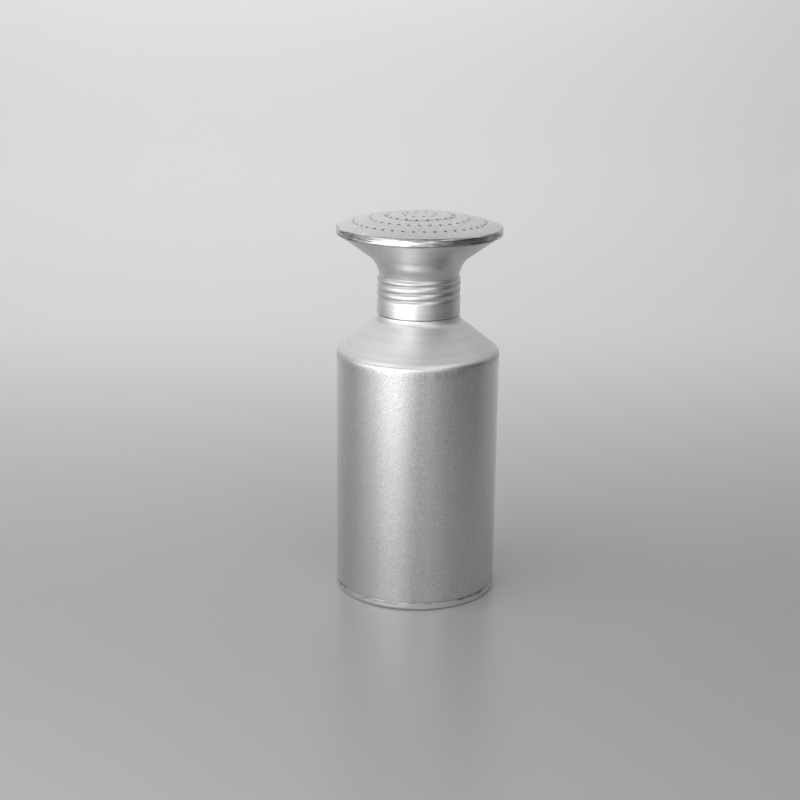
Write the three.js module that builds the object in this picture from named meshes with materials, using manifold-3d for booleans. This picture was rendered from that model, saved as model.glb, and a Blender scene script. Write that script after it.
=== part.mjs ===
// A spun aluminium shaker: a round can with a sloping shoulder and a threaded neck, and a
// screw-on lid that flares out to a wide sprinkler head with four rings of small holes.
// Millimetres, +Z up. The origin is the centre of the base, on the surface it stands on.
// Angles round the can are counted from the front, -Y, towards +X.

import * as THREE from "three";
import { mergeVertices } from "three/addons/utils/BufferGeometryUtils.js";
import Module from "manifold-3d";

const wasm = await Module();
wasm.setup();

// Can
const bodyRadius = 42.5;
const bodyWall = 1;
const cylinderHeight = 128.4;
const shoulderBendRadius = 3.5;
const shoulderSlope = THREE.MathUtils.degToRad(38);
const footHeight = 2.4;
const footInset = 0.3;
const neckHeight = 18.6;
const neckWall = 1.2;
const lipChamfer = 0.3;

// Base pan, pressed over the can's lower end
const panWall = 1;
const panHeight = 3.8;
const panBendRadius = 2;
const standingWidth = 3;
const recessDepth = 2;
const recessSlopeWidth = 2;

// Screw thread, rolled into the lid's skirt and the can's neck alike
const threadLead = 3.75;
const threadDepth = 0.6;
const threadClearance = 0.4;
const threadTopInset = 1.3;

// Lid collar
const collarRadius = 21.6;
const collarWall = 0.8;
const collarEdgeChamfer = 0.3;
const throatInset = 0.57;
const ribTopInset = 0.2;
const ribEdgeHeight = 0.7;
const flareBendRadius = 13;
const flareAngle = THREE.MathUtils.degToRad(54);
const hookDepth = 0.7;

// Sprinkler plate, its edge rolled over the collar's rim
const rimRadius = 42.8;
const plateWall = 0.8;
const rimHeight = 4.3;
const rimRollRadius = 2;
const rimLipBendRadius = 0.9;
const domeHeight = 5.35;
const discRadius = 16.7;
const discStepWidth = 1.2;
const discRise = 0.35;
const discCrown = 0.45;
const holeRadius = 0.8;
const holeRingSpacing = 8.5;

// Sealing ring, loose between the neck's lip and the ledge in the lid
const sealThickness = 0.8;
const sealOverhang = 0.7;

// Clearances
const seatGap = 0.3;
const rimClearance = 0.4;
const cutOverrun = 1;

// Counts, angles and shapes
const aroundSegments = 48;
const bendSteps = 4;
const flareBendSteps = 6;
const domeSteps = 4;
const holeSides = 6;
const holesPerRingStep = 10;
const holeRingTurns = [12.5, -5.6, -0.9, -5.8].map(THREE.MathUtils.degToRad);
const domeCurvePower = 2.9;
const rowsPerTurn = 4;
const grooveFloorShare = 0.26;
const grooveFlankShare = 0.22;
const collarGrooveShares = [0, 0.5, 1, 1, 1, 1, 1, 1, 1, 1, 1, 1, 0.4];
const neckThreadShares = [0, 0, 1, 1, 1, 1, 1, 1, 1, 1, 1, 0.6, 0];
const topGrooveRow = 11;

// Can: what follows from the sizes above
const footRadius = collarRadius - footInset;
const shoulderBendCentre = { radius: bodyRadius - shoulderBendRadius, height: cylinderHeight };
const shoulderBendTop = onBend(shoulderBendCentre, shoulderBendRadius, Math.PI / 2 - shoulderSlope);
const footBottom = heightOnSlope(shoulderBendTop, footRadius, -Math.tan(shoulderSlope));
const footTop = footBottom + footHeight;
const neckTop = footTop + neckHeight;
const spigotRadius = bodyRadius - panWall - seatGap;

// Thread: radii of the lid's inside and of the neck that turns in it
const collarInnerRadius = collarRadius - collarWall;
const neckRootRadius = collarInnerRadius - threadClearance - threadDepth;
const neckInnerRadius = neckRootRadius - neckWall;
const rowSpacing = threadLead / rowsPerTurn;
const frontGrooveHeight = neckTop - threadTopInset;

// Lid
const skirtBottom = footTop + seatGap;
const sealBottom = neckTop + seatGap;
const ledgeHeight = sealBottom + sealThickness + seatGap;
const ribTop = ledgeHeight - ribTopInset;
const throatRadius = collarRadius - throatInset;
const flareBendCentre = { radius: throatRadius + flareBendRadius, height: ribTop };
const collarLipRadius = rimRadius - plateWall - rimClearance;
const hookRadius = collarLipRadius - hookDepth;

// A point on a bend, its angle counted from straight outwards, towards +Z.
function onBend(centre, radius, angle) {
  return {
    radius: centre.radius + radius * Math.cos(angle),
    height: centre.height + radius * Math.sin(angle),
  };
}

// Points along a bend, both ends included.
function bend(centre, radius, fromAngle, toAngle, steps) {
  const rows = [];
  for (let i = 0; i <= steps; i += 1) {
    rows.push(onBend(centre, radius, fromAngle + ((toAngle - fromAngle) * i) / steps));
  }
  return rows;
}

// The height that a straight slope through a point has at another radius.
function heightOnSlope(point, radius, slope) {
  return point.height + (radius - point.radius) * slope;
}

// How deep the helical groove is at a height and an angle, from 0 on the rib to 1 on its floor.
function grooveShare(height, angle) {
  const turns = (height - frontGrooveHeight) / threadLead - angle / (2 * Math.PI);
  const fromFloor = Math.abs(turns - Math.round(turns)) - grooveFloorShare / 2;
  return 1 - THREE.MathUtils.clamp(fromFloor / grooveFlankShare, 0, 1);
}

// Rows of a threaded wall, bottom to top. Each row's radius is the rib's, less its groove.
function threadRows(rootRadius, shares, ribHeight) {
  return shares.map((share, i) => ({
    radius: rootRadius + ribHeight(share),
    height: frontGrooveHeight + (i - topGrooveRow) * rowSpacing,
    groove: threadDepth * share,
  }));
}

// Merges a geometry's shared vertices and drops the triangles that had no area.
function closedGeometry(geometry) {
  geometry.deleteAttribute("normal");
  geometry.deleteAttribute("uv");
  const merged = mergeVertices(geometry);
  const index = merged.getIndex().array;
  const kept = [];
  for (let i = 0; i < index.length; i += 3) {
    const [a, b, c] = [index[i], index[i + 1], index[i + 2]];
    if (a !== b && b !== c && c !== a) {
      kept.push(a, b, c);
    }
  }
  merged.setIndex(kept);
  return merged;
}

// Spins an outline round the Z axis. A row with a groove is pressed in along the helix.
function spun(rows, closesOnItself) {
  const outline = closesOnItself ? [...rows, rows[0]] : rows;
  const points = outline.map((row) => new THREE.Vector2(row.radius, row.height));
  const geometry = new THREE.LatheGeometry(points, aroundSegments);
  geometry.rotateX(Math.PI / 2);
  const position = geometry.getAttribute("position");
  for (let i = 0; i < position.count; i += 1) {
    const row = outline[i % outline.length];
    if (row.groove) {
      const angle = Math.atan2(position.getX(i), -position.getY(i));
      const radius = row.radius - row.groove * grooveShare(row.height, angle);
      position.setX(i, radius * Math.sin(angle));
      position.setY(i, -radius * Math.cos(angle));
    }
  }
  return closedGeometry(geometry);
}

function toSolid(geometry) {
  const vertProperties = new Float32Array(geometry.getAttribute("position").array);
  const triVerts = new Uint32Array(geometry.getIndex().array);
  return new wasm.Manifold(new wasm.Mesh({ numProp: 3, vertProperties, triVerts }));
}

function toGeometry(solid) {
  const mesh = solid.getMesh();
  const geometry = new THREE.BufferGeometry();
  geometry.setAttribute("position", new THREE.BufferAttribute(mesh.vertProperties, 3));
  geometry.setIndex(new THREE.BufferAttribute(mesh.triVerts, 1));
  return geometry;
}

// The outside of the can, from the spigot in the pan up to the lip of the neck.
function bodyOutside() {
  return [
    { radius: spigotRadius, height: panBendRadius },
    { radius: spigotRadius, height: panHeight + seatGap },
    { radius: bodyRadius, height: panHeight + seatGap },
    ...bend(shoulderBendCentre, shoulderBendRadius, 0, Math.PI / 2 - shoulderSlope, bendSteps),
    { radius: footRadius, height: footBottom },
    { radius: footRadius, height: footTop },
    { radius: neckRootRadius, height: footTop },
    ...threadRows(neckRootRadius, neckThreadShares, (share) => threadDepth * share),
    { radius: neckRootRadius, height: neckTop - lipChamfer },
    { radius: neckRootRadius - lipChamfer, height: neckTop },
  ];
}

// The inside of the can, from the lip back down to the spigot.
function bodyInside() {
  const bendRadius = shoulderBendRadius - bodyWall;
  const slopeTop = onBend(shoulderBendCentre, bendRadius, Math.PI / 2 - shoulderSlope);
  const joggleTop = panHeight + seatGap + bodyWall;
  return [
    { radius: neckInnerRadius, height: neckTop },
    { radius: neckInnerRadius, height: heightOnSlope(slopeTop, neckInnerRadius, -Math.tan(shoulderSlope)) },
    ...bend(shoulderBendCentre, bendRadius, Math.PI / 2 - shoulderSlope, 0, bendSteps),
    { radius: bodyRadius - bodyWall, height: joggleTop + bodyWall },
    { radius: spigotRadius - bodyWall, height: joggleTop },
    { radius: spigotRadius - bodyWall, height: panBendRadius },
  ];
}

function bodyShell() {
  return spun([...bodyOutside(), ...bodyInside()], true);
}

// The pan stands on a flat ring round a raised middle, and its wall covers the can's spigot.
function basePan() {
  const bendCentre = { radius: bodyRadius - panBendRadius, height: panBendRadius };
  const standingInner = bendCentre.radius - standingWidth;
  const recessRadius = standingInner - recessSlopeWidth;
  return spun(
    [
      { radius: 0, height: recessDepth },
      { radius: recessRadius, height: recessDepth },
      { radius: standingInner, height: 0 },
      ...bend(bendCentre, panBendRadius, -Math.PI / 2, 0, bendSteps),
      { radius: bodyRadius, height: panHeight },
      { radius: bodyRadius - panWall, height: panHeight },
      ...bend(bendCentre, panBendRadius - panWall, 0, -Math.PI / 2, bendSteps),
      { radius: standingInner, height: panWall },
      { radius: recessRadius, height: recessDepth + panWall },
      { radius: 0, height: recessDepth + panWall },
    ],
    false,
  );
}

function sealingRing() {
  const innerRadius = neckInnerRadius - sealOverhang;
  const outerRadius = collarInnerRadius - threadClearance;
  return spun(
    [
      { radius: innerRadius, height: sealBottom },
      { radius: outerRadius, height: sealBottom },
      { radius: outerRadius, height: sealBottom + sealThickness },
      { radius: innerRadius, height: sealBottom + sealThickness },
    ],
    true,
  );
}

// The flare's bend starts on the throat and ends where its straight slope begins.
function flareRows(bendRadius, startHeight) {
  const startAngle = Math.PI - Math.asin((startHeight - flareBendCentre.height) / bendRadius);
  return bend(flareBendCentre, bendRadius, startAngle, Math.PI - flareAngle, flareBendSteps);
}

function flareHeightAt(bendRadius, radius) {
  const bendTop = onBend(flareBendCentre, bendRadius, Math.PI - flareAngle);
  return heightOnSlope(bendTop, radius, 1 / Math.tan(flareAngle));
}

const flareTop = flareHeightAt(flareBendRadius, hookRadius);
const rimBottom = flareTop + hookDepth;
const hookTop = rimBottom + plateWall + rimClearance;
const rimRollCentre = {
  radius: rimRadius - rimRollRadius,
  height: rimBottom + rimHeight - rimRollRadius,
};
const collarTop = rimRollCentre.height - rimClearance / 2;

// The collar's skirt, throat and flare, up to the lip that the plate is rolled round.
function collarOutside() {
  return [
    { radius: collarRadius - collarEdgeChamfer, height: skirtBottom },
    { radius: collarRadius, height: skirtBottom + collarEdgeChamfer },
    ...threadRows(collarRadius, collarGrooveShares, () => 0),
    { radius: collarRadius, height: ribTop },
    ...flareRows(flareBendRadius, ribTop + ribEdgeHeight),
    { radius: hookRadius, height: flareTop },
    { radius: hookRadius, height: hookTop - rimClearance },
    { radius: collarLipRadius, height: hookTop },
    { radius: collarLipRadius, height: collarTop },
  ];
}

function collarInside() {
  const lipInner = hookRadius - collarWall;
  const bendRadius = flareBendRadius + collarWall;
  return [
    { radius: lipInner, height: collarTop },
    { radius: lipInner, height: flareHeightAt(bendRadius, lipInner) },
    ...flareRows(bendRadius, ledgeHeight).reverse(),
    { radius: collarInnerRadius, height: ledgeHeight },
    ...threadRows(collarInnerRadius, collarGrooveShares, () => 0).reverse(),
    { radius: collarInnerRadius, height: skirtBottom },
  ];
}

function lidCollar() {
  return spun([...collarOutside(), ...collarInside()], true);
}

// The dome falls away from its crown ever faster, to the roll of the rim.
const domeSlope = (domeHeight * domeCurvePower) / rimRollCentre.radius;
const rollEndAngle = Math.PI / 2 - Math.atan(domeSlope);
const rollEnd = onBend(rimRollCentre, rimRollRadius, rollEndAngle);
const discOuterRadius = discRadius + discStepWidth;

function domeHeightAt(radius) {
  return rollEnd.height + domeHeight * (1 - (radius / rollEnd.radius) ** domeCurvePower);
}

// Rows from the rim in to the crown, with the small raised disc in the middle.
function domeRows() {
  const rows = [];
  for (let i = 1; i <= domeSteps; i += 1) {
    const radius = rollEnd.radius + ((discOuterRadius - rollEnd.radius) * i) / domeSteps;
    rows.push({ radius, height: domeHeightAt(radius) });
  }
  const discHeight = domeHeightAt(discRadius) + discRise;
  rows.push({ radius: discRadius, height: discHeight });
  rows.push({ radius: discRadius / 2, height: discHeight + (discCrown * 3) / 4 });
  rows.push({ radius: 0, height: discHeight + discCrown });
  return rows;
}

function plateRows() {
  const lipCentre = { radius: rimRadius - rimLipBendRadius, height: rimBottom + rimLipBendRadius };
  const innerRollRadius = rimRollRadius - plateWall;
  const dome = domeRows();
  const underDome = dome.map((row) => ({ radius: row.radius, height: row.height - plateWall }));
  return [
    { radius: hookRadius + rimClearance, height: rimBottom },
    ...bend(lipCentre, rimLipBendRadius, -Math.PI / 2, 0, bendSteps),
    ...bend(rimRollCentre, rimRollRadius, 0, rollEndAngle, bendSteps),
    ...dome,
    ...underDome.reverse(),
    ...bend(rimRollCentre, innerRollRadius, rollEndAngle, 0, bendSteps),
    { radius: rimRadius - plateWall, height: rimBottom + plateWall },
    { radius: hookRadius + rimClearance, height: rimBottom + plateWall },
  ];
}

// Drills for every ring of holes: ten holes more in each ring than in the one inside it.
function holeDrills() {
  const drills = [];
  const length = domeHeight + rimHeight + 2 * cutOverrun;
  holeRingTurns.forEach((turn, ring) => {
    const ringRadius = holeRingSpacing * (ring + 1);
    const count = holesPerRingStep * (ring + 1);
    for (let i = 0; i < count; i += 1) {
      const angle = turn + (2 * Math.PI * i) / count;
      const drill = new THREE.CylinderGeometry(holeRadius, holeRadius, length, holeSides);
      drill.rotateX(Math.PI / 2);
      drill.translate(ringRadius * Math.sin(angle), -ringRadius * Math.cos(angle), rollEnd.height);
      drills.push(toSolid(closedGeometry(drill)));
    }
  });
  return drills;
}

function sprinklerPlate() {
  const rows = plateRows();
  let plate = toSolid(spun(rows, true));
  for (const drill of holeDrills()) {
    plate = plate.subtract(drill);
  }
  return toGeometry(plate);
}

const brushedAluminium = new THREE.MeshStandardMaterial({ color: 0xb9bbbc, roughness: 0.42, metalness: 1 });
const spunAluminium = new THREE.MeshStandardMaterial({ color: 0xc6c8c9, roughness: 0.3, metalness: 1 });
const mattAluminium = new THREE.MeshStandardMaterial({ color: 0xcbcccb, roughness: 0.5, metalness: 1 });
const greyRubber = new THREE.MeshStandardMaterial({ color: 0x5a5a58, roughness: 0.8, metalness: 0 });

function namedMesh(name, geometry, material) {
  geometry.computeVertexNormals();
  const mesh = new THREE.Mesh(geometry, material);
  mesh.name = name;
  return mesh;
}

const shaker = new THREE.Group();
shaker.add(namedMesh("body_shell", bodyShell(), brushedAluminium));
shaker.add(namedMesh("base_pan", basePan(), brushedAluminium.clone()));
shaker.add(namedMesh("sealing_ring", sealingRing(), greyRubber));
shaker.add(namedMesh("lid_collar", lidCollar(), spunAluminium));
shaker.add(namedMesh("sprinkler_plate", sprinklerPlate(), mattAluminium));

export default shaker;
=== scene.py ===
# %% [markdown]
# # A spun aluminium spice shaker
# The real shaker is two shells of thin aluminium that screw together. The can is a drawn tube
# whose upper end is spun in to a sloping shoulder and a threaded neck, closed below by a pressed
# pan. The lid is a spun collar that flares to a wide rim, closed above by a domed plate with four
# rings of small holes. This notebook dresses the measured parts of that shaker, cell by cell.

# %% Load the measured parts
import math

import bmesh
import bpy
import numpy as np
from mathutils import Matrix, Vector


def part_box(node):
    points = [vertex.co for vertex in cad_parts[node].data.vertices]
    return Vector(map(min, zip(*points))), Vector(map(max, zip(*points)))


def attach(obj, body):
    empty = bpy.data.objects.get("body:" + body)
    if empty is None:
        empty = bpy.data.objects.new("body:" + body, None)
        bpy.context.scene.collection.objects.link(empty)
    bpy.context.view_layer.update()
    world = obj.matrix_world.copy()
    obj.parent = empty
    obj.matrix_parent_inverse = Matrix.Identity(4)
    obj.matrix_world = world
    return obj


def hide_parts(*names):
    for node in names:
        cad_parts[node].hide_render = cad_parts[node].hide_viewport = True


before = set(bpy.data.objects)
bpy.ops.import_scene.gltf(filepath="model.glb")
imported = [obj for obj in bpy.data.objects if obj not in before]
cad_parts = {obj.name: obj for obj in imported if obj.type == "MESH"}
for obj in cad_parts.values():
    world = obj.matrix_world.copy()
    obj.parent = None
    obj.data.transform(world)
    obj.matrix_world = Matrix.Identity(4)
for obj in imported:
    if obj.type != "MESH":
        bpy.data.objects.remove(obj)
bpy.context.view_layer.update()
TURN = 2 * math.pi
print("nodes:", sorted(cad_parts))

# %% [markdown]
# ## The camera
# The picture was taken a little above the shaker, from about three quarters of a metre. A camera is
# fitted best by its focal length in pixels, its tilt and its place, and not by eye: a round can shows
# them in how its circles flatten. The picture is 800 pixels square, and the camera was held a little
# out of level, so it gets a small roll as well.

# %% Camera
IMAGE_SIDE_PIXELS = 800
FOCAL_PIXELS = 1490.6
SENSOR_WIDTH_MM = 36
CAMERA_PLACE = Vector((-0.0091, -0.7571, 0.3180))
CAMERA_DOWN = math.radians(15.946)
CAMERA_ROLL = math.radians(0.638)


def make_camera():
    data = bpy.data.cameras.new("camera")
    data.sensor_width = SENSOR_WIDTH_MM
    data.lens = FOCAL_PIXELS / IMAGE_SIDE_PIXELS * SENSOR_WIDTH_MM
    camera = bpy.data.objects.new("camera", data)
    level_right = Vector((1, 0, 0))
    level_up = Vector((0, math.sin(CAMERA_DOWN), math.cos(CAMERA_DOWN)))
    forward = Vector((0, math.cos(CAMERA_DOWN), -math.sin(CAMERA_DOWN)))
    right = level_right * math.cos(CAMERA_ROLL) + level_up * math.sin(CAMERA_ROLL)
    up = level_up * math.cos(CAMERA_ROLL) - level_right * math.sin(CAMERA_ROLL)
    turned = Matrix((right, up, -forward)).transposed()
    camera.matrix_world = Matrix.Translation(CAMERA_PLACE) @ turned.to_4x4()
    bpy.context.scene.collection.objects.link(camera)
    bpy.context.scene.camera = camera
    return camera


camera = make_camera()
bpy.context.scene.view_settings.view_transform = "Standard"
print("lens:", round(camera.data.lens, 2), "mm")

# %% [markdown]
# ## Sizes
# Every size below comes from the boxes of the measured parts, or is a small size of its own, such as
# the rounding of an edge that the measured parts leave sharp. Lengths are in metres, angles are
# counted from the front of the shaker towards its right side.

# %% Sizes from the measured parts
_, can_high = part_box("body_shell")
_, pan_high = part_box("base_pan")
seal_low, seal_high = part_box("sealing_ring")
collar_low, collar_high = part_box("lid_collar")
plate_low, plate_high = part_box("sprinkler_plate")

SEAT_GAP = 0.0003
body_radius = can_high.x
neck_top = can_high.z
foot_top = collar_low.z - SEAT_GAP
seam_height = pan_high.z
rim_radius = plate_high.x
rim_bottom = plate_low.z
print("can radius", round(body_radius, 4), "neck top", round(neck_top, 4))
print("rim radius", round(rim_radius, 4), "rim bottom", round(rim_bottom, 4))

# %% [markdown]
# ## Outlines and spinning
# Every part of this shaker is round, so all but the plate with its holes are outlines spun round the
# upright axis. Blender's Screw modifier could do that, but its rows are all alike. Here the outline is
# a list of rows, and a function may push each point of a row in, out or up. That makes the rolled
# thread, the wandering seam and the slight unevenness of real sheet in the mesh itself.

# %% Helpers for outlines


def arc(centre, radius, start, end, steps):
    """Points on an arc of an outline. Angles in degrees, 0 straight out and 90 straight up."""
    angles = np.radians(np.linspace(start, end, steps + 1))
    return [(centre[0] + radius * math.cos(a), centre[1] + radius * math.sin(a)) for a in angles]


def between(start, end, shares):
    """The points between two ends at the given shares of the way, without the first and the last."""
    across = end[0] - start[0]
    up = end[1] - start[1]
    return [(start[0] + across * share, start[1] + up * share) for share in shares[1:-1]]


def line(start, end, steps):
    """Points between two ends, closer together near the ends, so that a bend's shading stays there."""
    return between(start, end, (1 - np.cos(np.linspace(0, math.pi, steps + 1))) / 2)


def even_line(start, end, steps):
    """Evenly spaced points between two ends, without the ends."""
    return between(start, end, np.linspace(0, 1, steps + 1))


def smooth_step(low, high, value):
    """0 below low and 1 above high, with a soft start and end between them."""
    share = np.clip((value - low) / (high - low), 0, 1)
    return share * share * (3 - 2 * share)


# %% Helper that spins an outline into a closed mesh
AXIS_MERGE = 1e-7
SHARP_ANGLE = math.radians(50)


def mesh_object(name, points, faces):
    """A smooth-shaded mesh object whose faces point outwards."""
    mesh = bpy.data.meshes.new(name)
    mesh.from_pydata([tuple(p) for p in points], [], faces)
    shape = bmesh.new()
    shape.from_mesh(mesh)
    bmesh.ops.remove_doubles(shape, verts=shape.verts, dist=AXIS_MERGE)
    bmesh.ops.recalc_face_normals(shape, faces=shape.faces)
    for face in shape.faces:
        face.smooth = True
    for edge in shape.edges:
        edge.smooth = edge.calc_face_angle(0) < SHARP_ANGLE
    shape.to_mesh(mesh)
    shape.free()
    piece = bpy.data.objects.new(name, mesh)
    bpy.context.scene.collection.objects.link(piece)
    return piece


def spin(name, outline, around, push=None):
    """Spins a closed outline. push(radius, height, angle) returns the radii and heights to use."""
    rows = np.array(outline)
    angles = np.linspace(0, TURN, around, endpoint=False)[None, :]
    radius = np.repeat(rows[:, :1], around, axis=1)
    height = np.repeat(rows[:, 1:], around, axis=1)
    if push:
        radius, height = push(radius, height, angles)
    points = np.stack([radius * np.sin(angles), -radius * np.cos(angles), height], axis=2)
    row, column = np.meshgrid(np.arange(len(rows)), np.arange(around), indexing="ij")
    next_row = (row + 1) % len(rows)
    next_column = (column + 1) % around
    corners = [(row, column), (row, next_column), (next_row, next_column), (next_row, column)]
    faces = np.stack([(r * around + c).ravel() for r, c in corners], axis=1)
    on_axis = rows[:, 0] == 0
    spans_axis = on_axis[row.ravel()] & on_axis[next_row.ravel()]
    piece = mesh_object(name, points.reshape(-1, 3), faces[~spans_axis].tolist())
    print(name, "has", len(piece.data.polygons), "faces")
    return piece


# %% [markdown]
# ## The thread
# The lid's skirt and the can's neck carry the same right-hand thread, rolled into thin sheet, so it
# shows on both sides of the metal. The groove climbs one lead for each turn. Because the lid rises by
# one lead for each turn too, the groove of the lid always lies over the groove of the neck, at every
# height of the lid. The ribs are round beads, so the grooves between them are narrow: each rib's
# section is an arc whose radius follows from the lead and the depth.

# %% Thread
THREAD_LEAD = 0.00375
THREAD_DEPTH = 0.0006
THREAD_TOP_INSET = 0.0013
GROOVE_SOFT_SHARE = 0.035
bead_radius = (THREAD_LEAD ** 2 / 4 + THREAD_DEPTH ** 2) / (2 * THREAD_DEPTH)
front_groove = neck_top - THREAD_TOP_INSET


def bead(aside):
    """Depth below a rib's crest: 1 at its foot, 0 at its crest. aside is in shares of the lead."""
    from_crest = np.clip(0.5 - np.hypot(aside, GROOVE_SOFT_SHARE), 0, 0.5) * THREAD_LEAD
    return (bead_radius - np.sqrt(bead_radius ** 2 - from_crest ** 2)) / THREAD_DEPTH


def groove(height, angle):
    """How deep the groove is at a height and an angle: nearly 1 on its floor, 0 on a rib's crest."""
    turns = (height - front_groove) / THREAD_LEAD - angle / TURN
    return bead(turns - np.round(turns))


print("top groove at the front:", round(front_groove, 5))

# %% [markdown]
# ## The can
# The wall is a drawn tube, a little uneven like all drawn sheet. It turns into the shoulder in a
# round bend, the shoulder is a straight cone, and a short foot carries the lid's skirt. The sheet has
# a thickness, so the outline comes back down inside. The unevenness is a sum of three slow waves round
# the can, which is smoother than a noise and meets itself after one turn.

# %% Can sizes
AROUND = 224
BODY_WALL = 0.001
SHOULDER_BEND = 0.0043
SHOULDER_SLOPE_DEG = 38
FOOT_HEIGHT = 0.0024
FOOT_RADIUS = 0.0213
FOOT_EDGE = 0.0004
FOOT_FILLET = 0.0048
NECK_ROOT = 0.0198
NECK_WALL = 0.0012
LIP_ROUND = 0.0005
WALL_EDGE = 0.00006
SPIGOT_RADIUS = 0.0412
SPIGOT_BOTTOM = 0.002
UNEVEN_WALL = 0.00003
EVEN_NEAR_BEND_SHARE = 0.9
EVEN_NEAR_SEAM = 4 * seam_height
THREAD_START = 0.157
THREAD_FADE = 0.0009
WALL_ROWS = 60
NECK_ROWS = 96
# Each sway of the wall: its share, its waves round the can, its twist up the can and its phase.
SWAYS = ((1.0, 3, 1.1, 0.0), (0.7, 5, -2.3, 1.0), (0.5, 2, 3.1, 2.0))
slope = math.radians(SHOULDER_SLOPE_DEG)


def slope_height(radius):
    """Height of the shoulder's cone at a radius."""
    return foot_top - FOOT_HEIGHT - (radius - FOOT_RADIUS) * math.tan(slope)


bend_radius_place = body_radius - SHOULDER_BEND
bend_top_radius = bend_radius_place + SHOULDER_BEND * math.sin(slope)
bend_height = slope_height(bend_top_radius) - SHOULDER_BEND * math.cos(slope)
print("the shoulder's bend begins at", round(bend_height, 5))

# %% Can outline and mesh


def can_outside():
    bottom = seam_height + SEAT_GAP
    bend = arc((bend_radius_place, bend_height), SHOULDER_BEND, 0, 90 - SHOULDER_SLOPE_DEG, 10)
    reach = FOOT_FILLET * math.tan(slope / 2 + math.pi / 4 - slope)
    fillet_centre = (FOOT_RADIUS + FOOT_FILLET, slope_height(FOOT_RADIUS) + reach)
    fillet = arc(fillet_centre, FOOT_FILLET, 270 - SHOULDER_SLOPE_DEG, 180, 12)
    fillet_low = (fillet[0][0], slope_height(fillet[0][0]))
    foot_edge = arc((FOOT_RADIUS - FOOT_EDGE, foot_top - FOOT_EDGE), FOOT_EDGE, 0, 90, 5)
    return [
        (SPIGOT_RADIUS, SPIGOT_BOTTOM),
        *even_line((SPIGOT_RADIUS, SPIGOT_BOTTOM), (SPIGOT_RADIUS, bottom), 3),
        (SPIGOT_RADIUS, bottom),
        *arc((body_radius - WALL_EDGE, bottom + WALL_EDGE), WALL_EDGE, -90, 0, 4),
        *line((body_radius, bottom + WALL_EDGE), (body_radius, bend_height), WALL_ROWS),
        *bend,
        *line(bend[-1], fillet_low, 22),
        fillet_low,
        *fillet[1:],
        *foot_edge,
        *even_line((FOOT_RADIUS - FOOT_EDGE, foot_top), (NECK_ROOT, foot_top), 3),
        (NECK_ROOT, foot_top),
    ]


def neck_outside():
    top = neck_top - LIP_ROUND
    return [
        *even_line((NECK_ROOT, foot_top), (NECK_ROOT, top), NECK_ROWS),
        *arc((NECK_ROOT - LIP_ROUND, top), LIP_ROUND, 0, 90, 5),
    ]


def can_inside():
    inner = NECK_ROOT - NECK_WALL
    wall = body_radius - BODY_WALL
    bend_centre = (bend_radius_place, bend_height)
    in_bend = arc(bend_centre, SHOULDER_BEND - BODY_WALL, 90 - SHOULDER_SLOPE_DEG, 0, 8)
    drop = BODY_WALL / math.cos(slope)
    joggle = seam_height + SEAT_GAP + BODY_WALL
    spigot_inner = SPIGOT_RADIUS - BODY_WALL
    neck_foot = slope_height(inner) - drop
    return [
        *arc((inner + LIP_ROUND, neck_top - LIP_ROUND), LIP_ROUND, 90, 180, 5),
        *line((inner, neck_top - LIP_ROUND), (inner, neck_foot), 40),
        (inner, neck_foot),
        *line((inner, neck_foot), in_bend[0], 12),
        *in_bend,
        *line(in_bend[-1], (wall, joggle + BODY_WALL), 24),
        (wall, joggle + BODY_WALL),
        (spigot_inner, joggle),
        *even_line((spigot_inner, joggle), (spigot_inner, SPIGOT_BOTTOM), 3),
        (spigot_inner, SPIGOT_BOTTOM),
    ]


def push_can(radius, height, angle):
    """Rolls the thread into the neck and leaves the drawn wall a little uneven, always inwards."""
    fade_low = smooth_step(THREAD_START, THREAD_START + THREAD_FADE, height)
    fade_high = 1 - smooth_step(front_groove - THREAD_FADE / 2, front_groove + THREAD_FADE, height)
    rib = THREAD_DEPTH * fade_low * fade_high * (1 - groove(height, angle))
    on_neck = (height > foot_top) & (radius > NECK_ROOT - LIP_ROUND)
    above_seam = smooth_step(seam_height, EVEN_NEAR_SEAM, height)
    below_bend = 1 - smooth_step(bend_height * EVEN_NEAR_BEND_SHARE, bend_height, height)
    up_wall = above_seam * below_bend
    along = height / body_radius
    sway = -sum(sway_share for sway_share, _, _, _ in SWAYS)
    for sway_share, waves, twist, phase in SWAYS:
        sway = sway + sway_share * np.sin(waves * angle + twist * along + phase)
    dent = UNEVEN_WALL * sway * up_wall * (radius > SPIGOT_RADIUS)
    return radius + np.where(on_neck, rib, 0) + dent, height


can = spin("can_body", can_outside() + neck_outside() + can_inside(), AROUND, push_can)

# %% [markdown]
# ## The bottom pan
# A shallow pressed pan closes the can. It stands on a flat ring, its middle is raised, and its wall
# meets the can's in a thin seam. The seam is rolled shut, so it shows as a broken dark line: the
# pan's lip wanders up and down by less than the gap.

# %% Bottom pan
PAN_WALL = 0.001
PAN_BEND = 0.0014
STANDING_WIDTH = 0.003
RECESS_DEPTH = 0.002
RECESS_SLOPE_WIDTH = 0.002
PAN_LIP_EDGE = 0.00006
SEAM_CLOSED = 0.00028
SEAM_OPEN = 0.00012
# Each wander of the lip is two waves multiplied: their share, then the number and phase of each.
LIP_WANDERS = ((1.0, 7, 0.0, 11, 0.8), (0.6, 23, 2.0, 3, 0.0))
CLOSING_FROM = -0.5
CLOSED_FROM = 0.6
pan_centre_radius = body_radius - PAN_BEND
standing_inner = pan_centre_radius - STANDING_WIDTH
recess_radius = standing_inner - RECESS_SLOPE_WIDTH


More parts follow.
